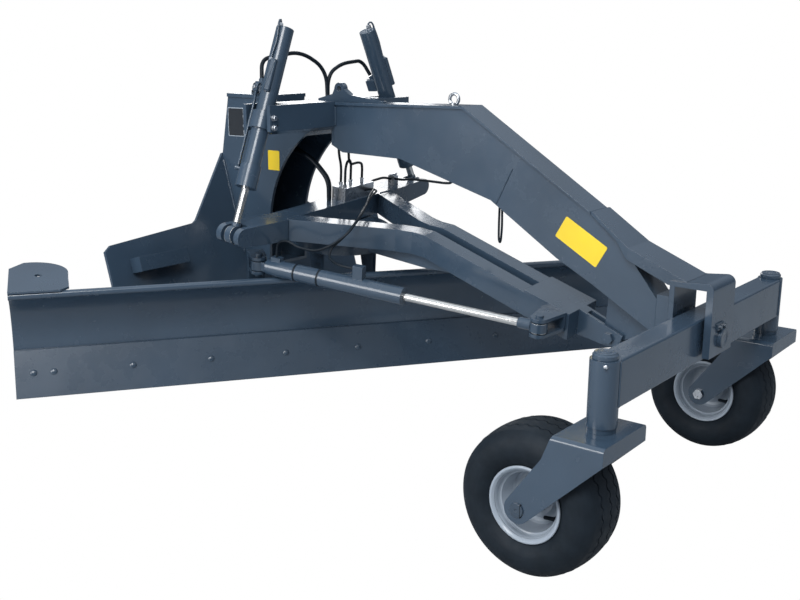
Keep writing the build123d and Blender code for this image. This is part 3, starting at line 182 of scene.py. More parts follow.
def finishes():
    """All finishes of the machine, made once from the look's colours."""
    look = bpy.context.scene.grader_look
    edge_colour = tuple(c * 0.8 for c in look.paint_colour)
    return {
        "paint": paint_finish("machine_paint", tuple(look.paint_colour), look.paint_roughness),
        "rim_paint": paint_finish("rim_silver", tuple(look.rim_colour), 0.34, 0.0015),
        "tyre": rubber_finish("tyre_rubber", tuple(look.rubber_colour), 0.62),
        "hose_rubber": rubber_finish("hose_cover", tuple(look.rubber_colour), 0.45),
        "chrome_rod": metal_finish("rod_chrome", (0.78, 0.76, 0.73), 0.16),
        "bright_steel": metal_finish("plated_steel", (0.55, 0.57, 0.6), 0.3),
        "edge_steel": paint_finish("edge_paint", edge_colour, 0.24),
        "sign": paint_finish("sign_yellow", tuple(look.sign_colour), 0.35, 0.0005),
        "nameplate": paint_finish("nameplate_black", (0.012, 0.015, 0.02), 0.3, 0.0003),
    }


FINISHES = {}


def finish(name):
    """A finish by its slot name, made on first use."""
    if not FINISHES:
        FINISHES.update(finishes())
    return FINISHES[name]


def dress(piece, name):
    """Puts a finish on every slot of an object."""
    if not piece.material_slots:
        piece.data.materials.append(finish(name))
    for slot in piece.material_slots:
        slot.material = finish(name)


# Mesh helpers
WELD_PITCH = 0.0022


def mesh_piece(name, build, body, slot, smooth_angle=math.radians(35)):
    """New mesh object that rides on a body: build fills its bmesh."""
    mesh = bpy.data.meshes.new(name)
    work = bmesh.new()
    build(work)
    bmesh.ops.recalc_face_normals(work, faces=work.faces)
    work.to_mesh(mesh)
    work.free()
    piece = bpy.data.objects.new(name, mesh)
    bpy.context.collection.objects.link(piece)
    mesh.shade_smooth()
    mesh.set_sharp_from_angle(angle=smooth_angle)
    dress(piece, slot)
    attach(piece, body)
    return piece


def axis_frame(point, direction, along=(0.0, 0.0, 1.0)):
    """Matrix at a point: Z looks along a direction and Y as near to along as it can."""
    out = Vector(direction).normalized()
    side = Vector(along).cross(out)
    if side.length < 0.01:
        side = Vector((1.0, 0.0, 0.0)).cross(out)
    side.normalize()
    turn = Matrix((side, out.cross(side), out)).transposed().to_4x4()
    return Matrix.Translation(point) @ turn


def grid_faces(work, rows, closed=False):
    """Quads between rows of points that each close on themselves."""
    pairs = list(zip(rows, rows[1:]))
    if closed:
        pairs.append((rows[-1], rows[0]))
    for one, two in pairs:
        for i in range(len(one)):
            j = (i + 1) % len(one)
            work.faces.new((one[i], one[j], two[j], two[i]))


def lathe(work, profile, place, segments=32, closed=False):
    """Turned body from (radius, height) pairs about the Z of a matrix; open ends get caps."""
    rows = []
    for radius, height in profile:
        row = []
        for i in range(segments):
            turn = 2.0 * math.pi * i / segments
            point = Vector((radius * math.cos(turn), radius * math.sin(turn), height))
            row.append(work.verts.new(place @ point))
        rows.append(row)
    grid_faces(work, rows, closed)
    if not closed:
        work.faces.new(rows[0])
        work.faces.new(rows[-1])


def tube(work, points, radii, sides=10):
    """Tube along points, with a radius at each point."""
    side = Vector((0.31, 0.52, 0.79))
    rows = []
    last = len(points) - 1
    for i, point in enumerate(points):
        ahead = (points[min(i + 1, last)] - points[max(i - 1, 0)]).normalized()
        side = (side - ahead * side.dot(ahead)).normalized()
        up = ahead.cross(side)
        row = []
        for k in range(sides):
            turn = 2.0 * math.pi * k / sides
            spoke = side * math.cos(turn) + up * math.sin(turn)
            row.append(work.verts.new(point + radii[i] * spoke))
        rows.append(row)
    grid_faces(work, rows)
    work.faces.new(rows[0])
    work.faces.new(rows[-1])


def weld(work, start, end, size):
    """Rippled weld bead between two points."""
    span = (end - start).length
    count = max(4, int(span / WELD_PITCH))
    points = []
    radii = []
    for i in range(count + 1):
        points.append(start.lerp(end, i / count))
        radii.append(size * (0.86 + 0.16 * abs(math.sin(1.05 * i)) + 0.05 * math.sin(0.31 * i)))
    radii[0] = radii[-1] = size * 0.4
    tube(work, points, radii, 8)


def bolt(work, place, across, height=None, washer=True):
    """Hexagon head with its washer and chamfered crown."""
    height = height or 0.62 * across
    corner = across / math.sqrt(3.0)
    base = 0.0
    if washer:
        base = 0.12 * across
        lathe(work, [(0.001, 0.0), (across * 0.66, 0.0), (across * 0.66, base * 0.8),
                     (across * 0.63, base), (0.001, base)], place, 28)
    lathe(work, [(0.001, base), (corner, base), (corner, base + 0.86 * height),
                 (corner * 0.86, base + height), (0.001, base + height)], place, 6)
    lathe(work, [(corner * 0.8, base + 0.9 * height), (corner * 0.8, base + height * 1.03),
                 (0.001, base + height * 1.03)], place, 24)


def slab(work, place, width, height, thick, radius, steps=5):
    """Plate with rounded corners and a fine bevel, lying on the XY of a matrix."""
    rows = []
    for inset, level in ((0.0, 0.0), (0.0, 0.75 * thick), (0.25 * thick, thick)):
        row = []
        for quarter, (sx, sy) in enumerate(((1, 1), (-1, 1), (-1, -1), (1, -1))):
            for k in range(steps + 1):
                turn = math.pi / 2.0 * (quarter + k / steps)
                x = sx * (width / 2.0 - radius) + (radius - inset) * math.cos(turn)
                y = sy * (height / 2.0 - radius) + (radius - inset) * math.sin(turn)
                row.append(work.verts.new(place @ Vector((x, y, level))))
        rows.append(row)
    grid_faces(work, rows)
    work.faces.new(rows[0])
    work.faces.new(rows[-1])


def arc_through(start, middle, end, count):
    """Points on the circle through three 2-D points."""
    (ax, ay), (bx, by), (cx, cy) = start, middle, end
    d = 2.0 * (ax * (by - cy) + bx * (cy - ay) + cx * (ay - by))
    aa, bb, cc = ax * ax + ay * ay, bx * bx + by * by, cx * cx + cy * cy
    ux = (aa * (by - cy) + bb * (cy - ay) + cc * (ay - by)) / d
    uy = (aa * (cx - bx) + bb * (ax - cx) + cc * (bx - ax)) / d
    radius = math.hypot(ax - ux, ay - uy)
    first = math.atan2(ay - uy, ax - ux)
    turn = math.atan2(cy - uy, cx - ux) - first
    via = math.atan2(by - uy, bx - ux) - first
    turn = (turn + math.pi) % (2.0 * math.pi) - math.pi
    via = (via + math.pi) % (2.0 * math.pi) - math.pi
    if via * turn < 0.0:
        turn -= math.copysign(2.0 * math.pi, turn)
    points = []
    for i in range(count + 1):
        angle = first + turn * i / count
        points.append((ux + radius * math.cos(angle), uy + radius * math.sin(angle)))
    return points


# The drawbar: its hinge in metres and the three axes of its deck
DECK = placed(0.0, 0.300, 0.547)
DECK_U = Vector((0.99756, -0.00705, 0.0694))
DECK_V = Vector((0.0, 0.99488, 0.10106))
DECK_W = DECK_U.cross(DECK_V)
BLADE_TURN = math.radians(34.4)
BLADE_ALONG = DECK_U * math.cos(BLADE_TURN) - DECK_V * math.sin(BLADE_TURN)
TURN_AXIS_V = 1215.0
BOLT_LINE = Vector((-0.103, -0.1495, -0.337))


def spot(x, y, z):
    """Point in millimetres behind the kingpin line and above the floor."""
    return placed(x / 1000.0, y / 1000.0, z / 1000.0)


def deck_spot(u, v, w):
    """Point in millimetres from the drawbar's hinge."""
    return DECK + (DECK_U * u + DECK_V * v + DECK_W * w) / 1000.0


def edge_spot(along):
    """Point on the cutting edge's bolt line, in millimetres from the turning axis."""
    return deck_spot(0.0, TURN_AXIS_V, 0.0) + BLADE_ALONG * (along / 1000.0) + BOLT_LINE


# Properties

class GraderLook(bpy.types.PropertyGroup):
    """Colours and gloss of the grader attachment's looks."""
    paint_colour: FloatVectorProperty(
        name="Paint", description="Machine paint", subtype="COLOR",
        size=3, min=0.0, max=1.0, default=(0.035, 0.059, 0.091))
    rim_colour: FloatVectorProperty(
        name="Rims", description="Paint of the wheel rims", subtype="COLOR",
        size=3, min=0.0, max=1.0, default=(0.31, 0.355, 0.41))
    rubber_colour: FloatVectorProperty(
        name="Rubber", description="Tyres and hoses", subtype="COLOR",
        size=3, min=0.0, max=1.0, default=(0.0045, 0.0085, 0.0135))
    sign_colour: FloatVectorProperty(
        name="Signs", description="Blank sign plates", subtype="COLOR",
        size=3, min=0.0, max=1.0, default=(0.85, 0.6, 0.01))
    paint_roughness: FloatProperty(
        name="Paint roughness", description="Gloss of the paint", default=0.2, min=0.05, max=1.0)


class GRADER_OT_paint(bpy.types.Operator):
    """Puts the finishes on every CAD node by its record slot"""
    bl_idname = "grader.paint"
    bl_label = "Paint the machine"

    PAINTED_OVER = ("pivot_pin", "hinge_bolt")

    def execute(self, context):
        for part in frame["record"]["subparts"]:
            slot = "paint" if part["node"] in self.PAINTED_OVER else part["material_slot"]
            dress(frame["nodes"][part["node"]], slot)
        return {"FINISHED"}


# Wheels: sizes in metres, profiles as (offset or radius, radius or offset) pairs
HALF_TRACK = 0.649
TRAIL = 0.183
TYRE_RADIUS = 0.2285
TYRE_HALF = 0.108
TYRE_SHOULDER = (0.078, 0.2185)
FLANGE = (0.086, 0.1173)
GROOVES = (-0.045, 0.0, 0.045)
GROOVE_WIDTH = 0.0048
GROOVE_DEPTH = 0.006
ZIGZAG = 0.0042
ZIGZAG_STEPS = (1.0, 1.0, 0.55, -1.0, -1.0, -0.55)
TYRE_STEPS = 240
WALL_RINGS = (0.137, 0.150, 0.196)
RING_HALF = 0.0028
RING_RISE = 0.0009
BEAD_RADIUS = 0.104

# Half of the rim from the middle of its well outward and back to the hub: (radius, offset)
RIM_HALF = (
    (0.102, 0.0), (0.102, 0.085), (0.1165, 0.0865), (0.1173, 0.089), (0.1165, 0.0925),
    (0.114, 0.094), (0.110, 0.0932), (0.1055, 0.0895), (0.1015, 0.084), (0.0995, 0.079),
    (0.0985, 0.071), (0.0955, 0.0665), (0.0915, 0.064), (0.0905, 0.058), (0.0885, 0.046),
    (0.0855, 0.030), (0.082, 0.017), (0.075, 0.0105), (0.066, 0.0085), (0.060, 0.011),
    (0.054, 0.0165), (0.046, 0.0185), (0.0415, 0.021), (0.040, 0.030), (0.0385, 0.034),
    (0.038, 0.096), (0.036, 0.098), (0.0125, 0.098))
VALVE_SPOKE = Vector((0.0, -0.90, -0.44))
VALVE_FOOT = (0.043, 0.0885)
VALVE_TIP = (0.072, 0.062)


def wheel_centre(sign):
    """Middle of a wheel in the frame of the model."""
    return placed(sign * HALF_TRACK, TRAIL, TYRE_RADIUS)


def tyre_section():
    """Section as (offset along the axle, radius, shift), where shift follows the zigzag."""
    belly = (TYRE_HALF, (FLANGE[1] + TYRE_RADIUS) / 2.0)
    wall = arc_through(FLANGE, belly, TYRE_SHOULDER, 22)
    ringed = []
    for x, radius in wall:
        on_ring = any(abs(radius - at) < RING_HALF for at in WALL_RINGS)
        rise = RING_RISE if on_ring else 0.0
        ringed.append((x + rise - RING_RISE, radius, 0.0))
    far_shoulder = (-TYRE_SHOULDER[0], TYRE_SHOULDER[1])
    crown = arc_through(TYRE_SHOULDER, (0.0, TYRE_RADIUS), far_shoulder, 36)
    top = []
    for x, radius in crown[1:-1]:
        near = min(GROOVES, key=lambda at: abs(x - at))
        if abs(x - near) > GROOVE_WIDTH / 2.0 + ZIGZAG * 1.2:
            top.append((x, radius, 0.0))
    for at in GROOVES:
        radius = TYRE_RADIUS - (TYRE_RADIUS - TYRE_SHOULDER[1]) * (at / TYRE_SHOULDER[0]) ** 2
        half = GROOVE_WIDTH / 2.0
        top += [(at + half, radius, 1.0), (at + half * 0.8, radius - GROOVE_DEPTH, 1.0),
                (at - half * 0.8, radius - GROOVE_DEPTH, 1.0), (at - half, radius, 1.0)]
    top.sort(key=lambda row: -row[0])
    other = [(-x, radius, shift) for x, radius, shift in reversed(ringed)]
    return [(FLANGE[0], BEAD_RADIUS, 0.0), *ringed, *top, *other, (-FLANGE[0], BEAD_RADIUS, 0.0)]


class GRADER_OT_tyres(bpy.types.Operator):
    """Tyres with stepped grooves round the tread and faint rings on the walls"""
    bl_idname = "grader.tyres"
    bl_label = "Tyres"

    def execute(self, context):
        section = tyre_section()
        for side, sign in SIDES:
            centre = wheel_centre(sign)

            def build(work):
                rows = []
                for i in range(TYRE_STEPS):
                    turn = 2.0 * math.pi * i / TYRE_STEPS
                    sway = ZIGZAG * ZIGZAG_STEPS[i % len(ZIGZAG_STEPS)]
                    row = []
                    for x, radius, shift in section:
                        point = (x + shift * sway, radius * math.cos(turn), radius * math.sin(turn))
                        row.append(work.verts.new(centre + Vector(point)))
                    rows.append(row)
                for i in range(TYRE_STEPS):
                    one, two = rows[i], rows[(i + 1) % TYRE_STEPS]
                    for k in range(len(section) - 1):
                        work.faces.new((one[k], one[k + 1], two[k + 1], two[k]))

            tyre = mesh_piece(f"tyre_tread_{side}", build, f"wheel_{side}", "tyre",
                              math.radians(40))
            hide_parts(f"tyre_{side}")
        return {"FINISHED"}


class GRADER_OT_rims(bpy.types.Operator):
    """Pressed rims with rolled flanges and stepped wells, and the valve of each tyre"""
    bl_idname = "grader.rims"
    bl_label = "Rims and valves"

    def execute(self, context):
        ring = [(radius, -offset) for radius, offset in reversed(RIM_HALF)] + list(RIM_HALF[1:])
        out = Vector((-1.0, 0.0, 0.0))
        for side, sign in SIDES:
            centre = wheel_centre(sign)
            place = axis_frame(centre, (1.0, 0.0, 0.0))

            def build(work):
                lathe(work, ring, place, 96, closed=True)

            rim = mesh_piece(f"rim_pressing_{side}", build, f"wheel_{side}", "rim_paint",
                             math.radians(24))
            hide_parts(f"rim_{side}")

            def stem(work):
                foot = centre + out * VALVE_FOOT[0] + VALVE_SPOKE * VALVE_FOOT[1]
                tip = centre + out * VALVE_TIP[0] + VALVE_SPOKE * VALVE_TIP[1]
                axis = (tip - foot).normalized()
                long = (tip - foot).length
                profile = [(0.0095, -0.004), (0.0092, 0.003), (0.0065, 0.007),
                           (0.0058, 0.6 * long), (0.0052, 0.62 * long), (0.0056, 0.64 * long),
                           (0.0056, 0.95 * long), (0.004, long)]
                lathe(work, profile, axis_frame(foot, axis), 24)

            mesh_piece(f"valve_stem_{side}", stem, f"wheel_{side}", "tyre")
        return {"FINISHED"}


# Bolts and pins: places in millimetres, and profiles in metres as (radius, height)
EDGE_BOLTS = (-1186, -1116, -837, -550, -263, 26, 320, 610, 897, 1116, 1186)
EDGE_FACE = Vector((-0.52, -0.76, 0.39)).normalized()
EDGE_HEAD = ((0.012, -0.004), (0.012, 0.0006), (0.0105, 0.0022), (0.007, 0.0036), (0.0015, 0.0042))
KINGPIN_TOP = 0.698
KINGPIN_FACE = (
    (0.0315, -0.002), (0.0315, 0.0012), (0.029, 0.0022), (0.022, 0.0022), (0.021, 0.001),
    (0.017, 0.001), (0.0165, 0.0026), (0.006, 0.003), (0.004, 0.001))
PLUG_HEIGHT = 0.668
PLUG_REACH = 0.0425
PLUG = ((0.006, -0.002), (0.006, 0.003), (0.0035, 0.0045), (0.0032, 0.007), (0.0042, 0.009),
        (0.002, 0.0115))
AXLE_END = HALF_TRACK + 0.133
AXLE_FACE = (
    (0.0216, -0.0033), (0.0216, 0.0006), (0.0203, 0.0018), (0.0045, 0.0022), (0.0042, 0.0010),
    (0.002, 0.0006))
# Painted shade on the axle ends: a black strip stands in for the shaded slot beside the centre,
# sunk this deep and set this far ahead
SLOT_SHADE_DEPTH = 0.0032
SLOT_SHADE_AHEAD = 0.0125
TRUNNION_X = 393
TRUNNION_BOLTS = ((1480, 1232, -1), (1480, 1197, -1), (1616, 1232, 1), (1616, 1197, 1))
PIVOT_FACE = (
    (0.031, -0.001), (0.031, 0.001), (0.029, 0.0025), (0.012, 0.0025), (0.010, 0.0012),
    (0.004, 0.0012))


class GRADER_OT_bolts(bpy.types.Operator):
    """Bolt heads of the cutting edge, caps, plugs, pins and retainers"""
    bl_idname = "grader.bolts"
    bl_label = "Bolts and pins"

    def execute(self, context):
        def edge(work):
            for along in EDGE_BOLTS:
                lathe(work, EDGE_HEAD, axis_frame(edge_spot(along), EDGE_FACE), 24)

        mesh_piece("edge_bolts", edge, "blade", "edge_steel")

        for side, sign in SIDES:
            def cap(work):
                top = placed(sign * HALF_TRACK, 0.0, KINGPIN_TOP)
                lathe(work, KINGPIN_FACE, axis_frame(top, (0.0, 0.0, 1.0)), 48)

            mesh_piece(f"kingpin_face_{side}", cap, f"caster_{side}", "paint")

            def plug(work):
                out = Vector((sign * 0.87, -0.49, 0.0)).normalized()
                foot = placed(sign * HALF_TRACK, 0.0, PLUG_HEIGHT) + out * PLUG_REACH
                lathe(work, PLUG, axis_frame(foot, out), 16)

            mesh_piece(f"grease_plug_{side}", plug, "axle", "bright_steel")

            def axle_face(work):
                end = placed(sign * AXLE_END, TRAIL, TYRE_RADIUS)
                lathe(work, AXLE_FACE, axis_frame(end, (sign, 0.0, 0.0)), 48)

            mesh_piece(f"axle_end_{side}", axle_face, f"caster_{side}", "edge_steel")

            # Painted shade: a thin slab in black rubber finish stands in for the shaded slot at the
            # axle end
            def slot_shade(work):
                foot = placed(sign * (AXLE_END - SLOT_SHADE_DEPTH), TRAIL - SLOT_SHADE_AHEAD, TYRE_RADIUS)
                slab(work, axis_frame(foot, (sign, 0.0, 0.0)), 0.0040, 0.042, 0.0058, 0.0019)

            mesh_piece(f"axle_slot_shade_{side}", slot_shade, f"caster_{side}", "hose_rubber")

        def lift_bolts(work):
            for _, sign in SIDES:
                for y, z, face in TRUNNION_BOLTS:
                    bolt(work, axis_frame(spot(sign * TRUNNION_X, y, z), (0.0, face, 0.0)), 0.017)

        mesh_piece("trunnion_bolts", lift_bolts, "frame", "bright_steel")

        def retainer(work):
            ahead = (0.0, -1.0, 0.0)
            lathe(work, PIVOT_FACE, axis_frame(spot(0, -85, 610), ahead), 48)
            slab(work, axis_frame(spot(-20, -75, 652), ahead), 0.052, 0.024, 0.006, 0.005)
            for x in (-36, -4):
                bolt(work, axis_frame(spot(x, -81, 652), ahead), 0.013, washer=False)

        mesh_piece("pin_retainer", retainer, "frame", "edge_steel")
        return {"FINISHED"}


# Cylinders, in millimetres: trunnions from the kingpin line and the floor, eyes on the drawbar;
# pipes and fittings as (outward, backward, upward) from the trunnion
LIFT_TOP = (382.0, 1548.0, 1216.0)
LIFT_EYE = (536.0, 1260.0, 185.0)
SWING_LUG = (-405.0, 1265.0, 42.0)
SWING_EYE = (-197.0, 173.0, 42.0)
SWING_RINGS = (168.0, 268.0)
SWING_RING = ((0.0316, -0.004), (0.0328, -0.0036), (0.0334, -0.002), (0.0334, 0.002),
              (0.0328, 0.0036), (0.0316, 0.004))
TOP_PIPE = (
    (22, 6, 366), (24, 5, 374), (31, 2, 378), (38, -1, 374), (40.5, -3, 364), (40.5, -4, 345),
    (38.5, -8, 318), (37.5, -10, 290), (38.5, -7, 262), (39, -5, 236), (38, -5, 224))
TOP_PIPE_RADIUS = 0.0038
LOW_PIPES = ((24, 37, -186), (33, 31, -178))
LOW_PIPE_RADIUS = 0.0042
LOW_PORT = ((0.008, -0.002), (0.008, 0.020), (0.0065, 0.022), (0.002, 0.023))


class GRADER_OT_plumbing(bpy.types.Operator):
    """Valve blocks, pipes and fittings on the lift barrels, and the ties of the turning cylinder"""
    bl_idname = "grader.plumbing"
    bl_label = "Cylinder fittings"

    def execute(self, context):
        for side, sign in SIDES:
            trunnion = spot(sign * LIFT_TOP[0], *LIFT_TOP[1:])
            eye = deck_spot(sign * LIFT_EYE[0], *LIFT_EYE[1:])
            up = (trunnion - eye).normalized()
            across = Vector((0.0, 1.0, 0.0))
            rear = (across - up * across.dot(up)).normalized()
            out = up.cross(rear)
            if out.x * sign < 0.0:
                out = -out

            def at(away, back, along):
                return trunnion + (out * away + rear * back + up * along) / 1000.0

            def blocks(work):
                bar = axis_frame(at(27.5, -13.8, 165), out * 0.893 - rear * 0.449, up)
                slab(work, bar, 0.024, 0.120, 0.016, 0.003)
                slab(work, axis_frame(at(-19, 52, 122), out, up), 0.046, 0.046, 0.040, 0.004)
                slab(work, axis_frame(at(22, 46, 118), out, up), 0.020, 0.026, 0.012, 0.003)
                port_axis = out * 0.62 + rear * 0.78
                lathe(work, LOW_PORT, axis_frame(at(21, 27, -186), port_axis), 20)

            mesh_piece(f"lift_valve_block_{side}", blocks, f"lift_cylinder_{side}", "paint")

            def nuts(work):
                for along in (107, 122, 137):
                    bolt(work, axis_frame(at(3, 75, along), rear), 0.015, 0.007, washer=False)
                bolt(work, axis_frame(at(34, 46, 118), out), 0.013, 0.006, washer=False)
                bolt(work, axis_frame(at(22, 6, 354), up), 0.017, 0.013)
                bolt(work, axis_frame(at(37, -5, 219), up), 0.014, 0.010, washer=False)

            mesh_piece(f"lift_fittings_{side}", nuts, f"lift_cylinder_{side}", "bright_steel")

            def pipes(work):
                radii = [TOP_PIPE_RADIUS] * len(TOP_PIPE)
                tube(work, [at(*point) for point in TOP_PIPE], radii, 12)
                for away, back, low in LOW_PIPES:
                    run = [(away - 4, back + 9, 104), (away - 3, back + 7, 92),
                           (away, back + 1, 72), (away, back, 40), (away, back, -60),
                           (away, back, low + 14), (away, back, low + 2)]
                    tube(work, [at(*point) for point in run], [LOW_PIPE_RADIUS] * len(run), 12)

            mesh_piece(f"lift_pipes_{side}", pipes, f"lift_cylinder_{side}", "paint")

            def rod_end(work):
                self.eye(work, eye, across, 0.0341, 0.0151)
                self.socket(work, eye, up, 0.0165, 0.031, 0.046)

            mesh_piece(f"lift_rod_eye_{side}", rod_end, f"lift_piston_{side}", "paint")

        lug = deck_spot(*SWING_LUG)
        front = deck_spot(*SWING_EYE)
        ahead = (front - lug).normalized()

        def swing_end(work):
            self.eye(work, front, DECK_W, 0.0305, 0.0173)
            self.socket(work, front, -ahead, 0.019, 0.026, 0.072)

        mesh_piece("swing_rod_eye", swing_end, "swing_piston", "paint")

        def rings(work):
            for along in SWING_RINGS:
                place = axis_frame(lug + ahead * (along / 1000.0), ahead)
                lathe(work, SWING_RING, place, 48, closed=True)

        mesh_piece("swing_ties", rings, "swing_cylinder", "hose_rubber")
        return {"FINISHED"}

    def eye(self, work, centre, axis, radius, half):
        """Rod eye with chamfered rims"""
        rim = 0.002
        profile = [(0.004, -half), (radius - rim, -half), (radius, rim - half),
                   (radius, half - rim), (radius - rim, half), (0.004, half)]
        lathe(work, profile, axis_frame(centre, axis), 56)

    def socket(self, work, centre, axis, radius, start, end):
        """Sleeve between a rod and its eye"""
        bore = 0.0143
        profile = [(bore, start), (radius, start), (radius, end - 0.004), (radius - 0.003, end),
                   (bore, end)]
        lathe(work, profile, axis_frame(centre, axis), 40, closed=True)


# Welds of the near half, in millimetres: start, end and half width of the bead
PYLON_LEAN = math.tan(math.radians(16.3))
PYLON_FOOT = (1931, 634)
PYLON_SIDE = 112
FRAME_WELDS = (
    ((55.5, 742, 957), (55.5, 678, 1088), 2.8), ((55.5, 1490, 1120), (55.5, 1490, 1258), 3.0),
    ((57, 1478, 1185), (57, 1478, 1258), 4.0), ((57, 1618, 1185), (57, 1618, 1258), 4.0),
    ((PYLON_SIDE, PYLON_FOOT[0] + (640 - PYLON_FOOT[1]) * PYLON_LEAN, 640),
     (PYLON_SIDE, PYLON_FOOT[0] + (1020 - PYLON_FOOT[1]) * PYLON_LEAN, 1020), 5.0))
AXLE_WELDS = (
    ((640, -42.5, 545), (640, -42.5, 676), 4.0), ((640, 42.5, 545), (640, 42.5, 676), 4.0))
DRAWBAR_WELDS = (
    ((240, 1213.5, 130), (240, 1213.5, 206), 4.0), ((312, 1213.5, 130), (312, 1213.5, 206), 4.0),
    ((242, 1213.5, 209.5), (308, 1213.5, 209.5), 3.5))


class GRADER_OT_welds(bpy.types.Operator):
    """Weld beads along the machine's plate joints"""
    bl_idname = "grader.welds"
    bl_label = "Welds"

    def execute(self, context):
        for name, body, beads, place in (("frame_welds", "frame", FRAME_WELDS, spot),
                                         ("axle_welds", "axle", AXLE_WELDS, spot),
                                         ("drawbar_welds", "drawbar", DRAWBAR_WELDS, deck_spot)):
            def build(work):
                for sign in (-1, 1):
                    for start, end, size in beads:
                        weld(work, place(sign * start[0], *start[1:]),
                             place(sign * end[0], *end[1:]), size / 1000.0)

            mesh_piece(name, build, body, "paint")
        return {"FINISHED"}


# Plates on the near side: middle in millimetres, direction, then width, height, thickness and
# corner radius in metres
BEAM_SIGN = ((-55.2, 404, 865), spot(-55, 309, 859.4) - spot(-55, 461.4, 945.3),
             0.180, 0.082, 0.0014, 0.005)
PYLON_SIGN = ((-110.2, 1757, 1036), Vector((0.0, -1.0, 0.0)), 0.062, 0.078, 0.0014, 0.003)
PLATE_FRAME = ((-110.2, 1966, 1176), Vector((0.0, -1.0, 0.02)), 0.092, 0.116, 0.0009, 0.004)
NAMEPLATE = ((-110.2, 1966, 1176), Vector((0.0, -1.0, 0.02)), 0.085, 0.109, 0.0018, 0.003)
RIVETS = [(-111.4, y, z) for y in (1929, 2003) for z in (1127, 1225)]
RIVET = ((0.0028, 0.0), (0.0026, 0.0012), (0.0008, 0.0018))


class GRADER_OT_plates(bpy.types.Operator):
    """Blank signs and the blank nameplate, with their rivets"""
    bl_idname = "grader.plates"
    bl_label = "Signs and nameplate"

    def execute(self, context):
        out = Vector((-1.0, 0.0, 0.0))

        def plate(work, middle, along, width, height, thick, radius):
            side = along.normalized()
            up = out.cross(side)
            turn = Matrix((side, up, out)).transposed().to_4x4()
            place = Matrix.Translation(spot(*middle)) @ turn
            slab(work, place, width, height, thick, radius)

        def signs(work):
            plate(work, *BEAM_SIGN)
            plate(work, *PYLON_SIGN)

        mesh_piece("blank_signs", signs, "frame", "sign")

        def plate_frame(work):
            plate(work, *PLATE_FRAME)

        mesh_piece("nameplate_frame", plate_frame, "frame", "rim_paint")

        def nameplate(work):
            plate(work, *NAMEPLATE)
            for rivet in RIVETS:
                lathe(work, RIVET, axis_frame(spot(*rivet), out), 12)

        mesh_piece("blank_nameplate", nameplate, "frame", "nameplate")
        return {"FINISHED"}


# Stage and camera
CAMERA_PLACE = placed(-3.205, -1.2559, 1.5292)
CAMERA_YAW = math.radians(37.483)
CAMERA_PITCH = math.radians(13.906)
CAMERA_ROLL = math.radians(0.520)
CAMERA_LENS = 48.34
FLOOR_REACH = 40.0
LAMP_AIM = placed(0.0, 1.0, 0.6)

# Name, place from the point they look at, size and power
LAMPS = (("key", (-4.4, -2.0, 4.4), 2.6, 250.0), ("fill", (-5.5, 1.8, 1.6), 2.5, 170.0),
         ("rim", (4.5, 4.5, 2.2), 2.0, 60.0))
STUDIO_TONES = ((0.0, (0.10, 0.12, 0.15)), (0.18, (0.15, 0.18, 0.22)),
                (0.42, (0.38, 0.43, 0.50)), (0.75, (1.15, 1.25, 1.35)))
WHITE = (1.0, 1.0, 1.0, 1.0)


def white_to_camera(tree, lit, seen, surface):
    """Shows one shader to the camera and another to all other rays."""
    rays = tree.nodes.new("ShaderNodeLightPath")
    mix = tree.nodes.new("ShaderNodeMixShader")
    tree.links.new(rays.outputs["Is Camera Ray"], mix.inputs["Fac"])
    tree.links.new(lit, mix.inputs[1])
    tree.links.new(seen, mix.inputs[2])
    tree.links.new(mix.outputs["Shader"], surface)


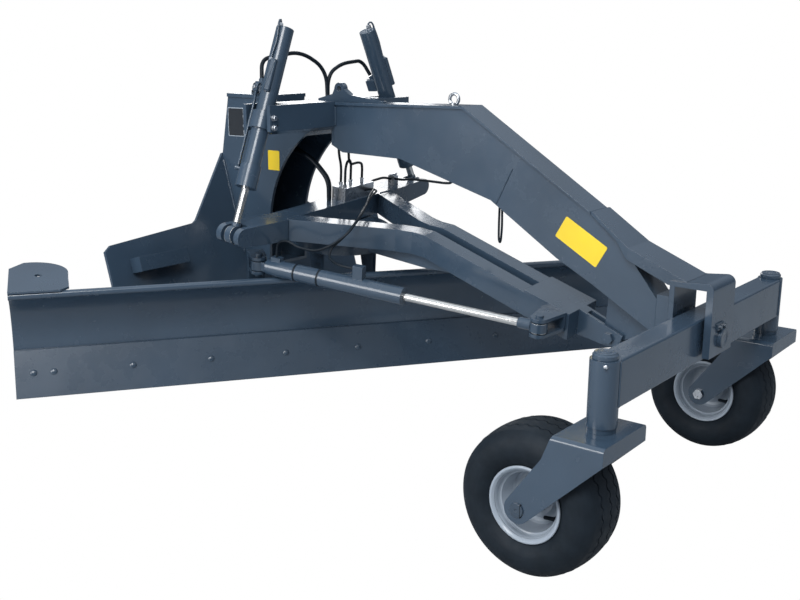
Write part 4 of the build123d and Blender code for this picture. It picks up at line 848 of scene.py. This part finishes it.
class GRADER_OT_stage(bpy.types.Operator):
    """Floor, soft studio light and the camera"""
    bl_idname = "grader.stage"
    bl_label = "Stage"

    def execute(self, context):
        scene = context.scene
        scene.view_settings.view_transform = "Standard"
        floor_mesh = bpy.data.meshes.new("floor")
        corners = [(x * FLOOR_REACH, y * FLOOR_REACH, FLOOR_Z)
                   for x, y in ((-1, -1), (1, -1), (1, 1), (-1, 1))]
        floor_mesh.from_pydata(corners, [], [(0, 1, 2, 3)])
        floor = bpy.data.objects.new("floor", floor_mesh)
        scene.collection.objects.link(floor)
        floor_mesh.materials.append(self.floor_finish())

        self.sky(scene)
        for name, offset, size, power in LAMPS:
            lamp = bpy.data.lights.new(name, "AREA")
            lamp.size = size
            lamp.energy = power
            holder = bpy.data.objects.new(name, lamp)
            scene.collection.objects.link(holder)
            holder.location = LAMP_AIM + Vector(offset)
            holder.rotation_euler = Vector(offset).to_track_quat("Z", "Y").to_euler()

        self.camera(scene)
        return {"FINISHED"}

    def sky(self, scene):
        """White to the camera; a soft studio that brightens overhead to everything else"""
        world = bpy.data.worlds.new("studio")
        scene.world = world
        world.use_nodes = True
        tree = world.node_tree
        seen = tree.nodes["Background"]
        seen.inputs["Color"].default_value = WHITE
        studio = tree.nodes.new("ShaderNodeBackground")
        coords = tree.nodes.new("ShaderNodeTexCoord")
        split = tree.nodes.new("ShaderNodeSeparateXYZ")
        tree.links.new(coords.outputs["Generated"], split.inputs["Vector"])
        tone = ramp(tree, split.outputs["Z"], STUDIO_TONES)
        tree.links.new(tone, studio.inputs["Color"])
        studio.inputs["Strength"].default_value = 0.8
        white_to_camera(tree, studio.outputs["Background"], seen.outputs["Background"],
                        tree.nodes["World Output"].inputs["Surface"])

    def floor_finish(self):
        """Grey floor that reads as the photograph's white to the camera"""
        finish_floor, tree, shader = new_finish("floor_pale")
        shader.inputs["Base Color"].default_value = (0.36, 0.38, 0.4, 1.0)
        shader.inputs["Roughness"].default_value = 0.7
        seen = tree.nodes.new("ShaderNodeEmission")
        seen.inputs["Color"].default_value = WHITE
        white_to_camera(tree, shader.outputs["BSDF"], seen.outputs["Emission"],
                        tree.nodes["Material Output"].inputs["Surface"])
        return finish_floor

    def camera(self, scene):
        """Camera at the photograph's angle"""
        ahead = math.cos(CAMERA_PITCH)
        forward = Vector((ahead * math.cos(CAMERA_YAW), ahead * math.sin(CAMERA_YAW),
                          -math.sin(CAMERA_PITCH)))
        level = forward.cross(Vector((0, 0, 1))).normalized()
        above = level.cross(forward)
        right = math.cos(CAMERA_ROLL) * level + math.sin(CAMERA_ROLL) * above
        up = -math.sin(CAMERA_ROLL) * level + math.cos(CAMERA_ROLL) * above
        data = bpy.data.cameras.new("camera")
        data.lens = CAMERA_LENS
        data.sensor_width = 36.0
        data.clip_end = 200.0
        holder = bpy.data.objects.new("camera", data)
        turn = Matrix((right, up, -forward)).transposed()
        holder.matrix_world = Matrix.Translation(CAMERA_PLACE) @ turn.to_4x4()
        scene.collection.objects.link(holder)
        scene.camera = holder


class GRADER_PT_panel(bpy.types.Panel):
    """Lists the steps that dress the machine"""
    bl_idname = "GRADER_PT_panel"
    bl_label = "Grader attachment"
    bl_space_type = "VIEW_3D"
    bl_region_type = "UI"
    bl_category = "Grader"

    def draw(self, context):
        look = context.scene.grader_look
        for name in GraderLook.__annotations__:
            self.layout.prop(look, name)
        for step in STEPS:
            self.layout.operator(step.bl_idname)


STEPS = (GRADER_OT_paint, GRADER_OT_tyres, GRADER_OT_rims, GRADER_OT_bolts, GRADER_OT_plumbing,
         GRADER_OT_welds, GRADER_OT_plates, GRADER_OT_stage)
CLASSES = (GraderLook, *STEPS, GRADER_PT_panel)


def register():
    """Registers the classes and the look's properties."""
    for entry in CLASSES:
        bpy.utils.register_class(entry)
    bpy.types.Scene.grader_look = PointerProperty(type=GraderLook)


def unregister():
    """Removes what register added."""
    del bpy.types.Scene.grader_look
    for entry in reversed(CLASSES):
        bpy.utils.unregister_class(entry)


def main():
    """Dresses the frame step by step."""
    register()
    for step in STEPS:
        group, name = step.bl_idname.split(".")
        getattr(getattr(bpy.ops, group), name)()


if __name__ == "__main__":
    main()
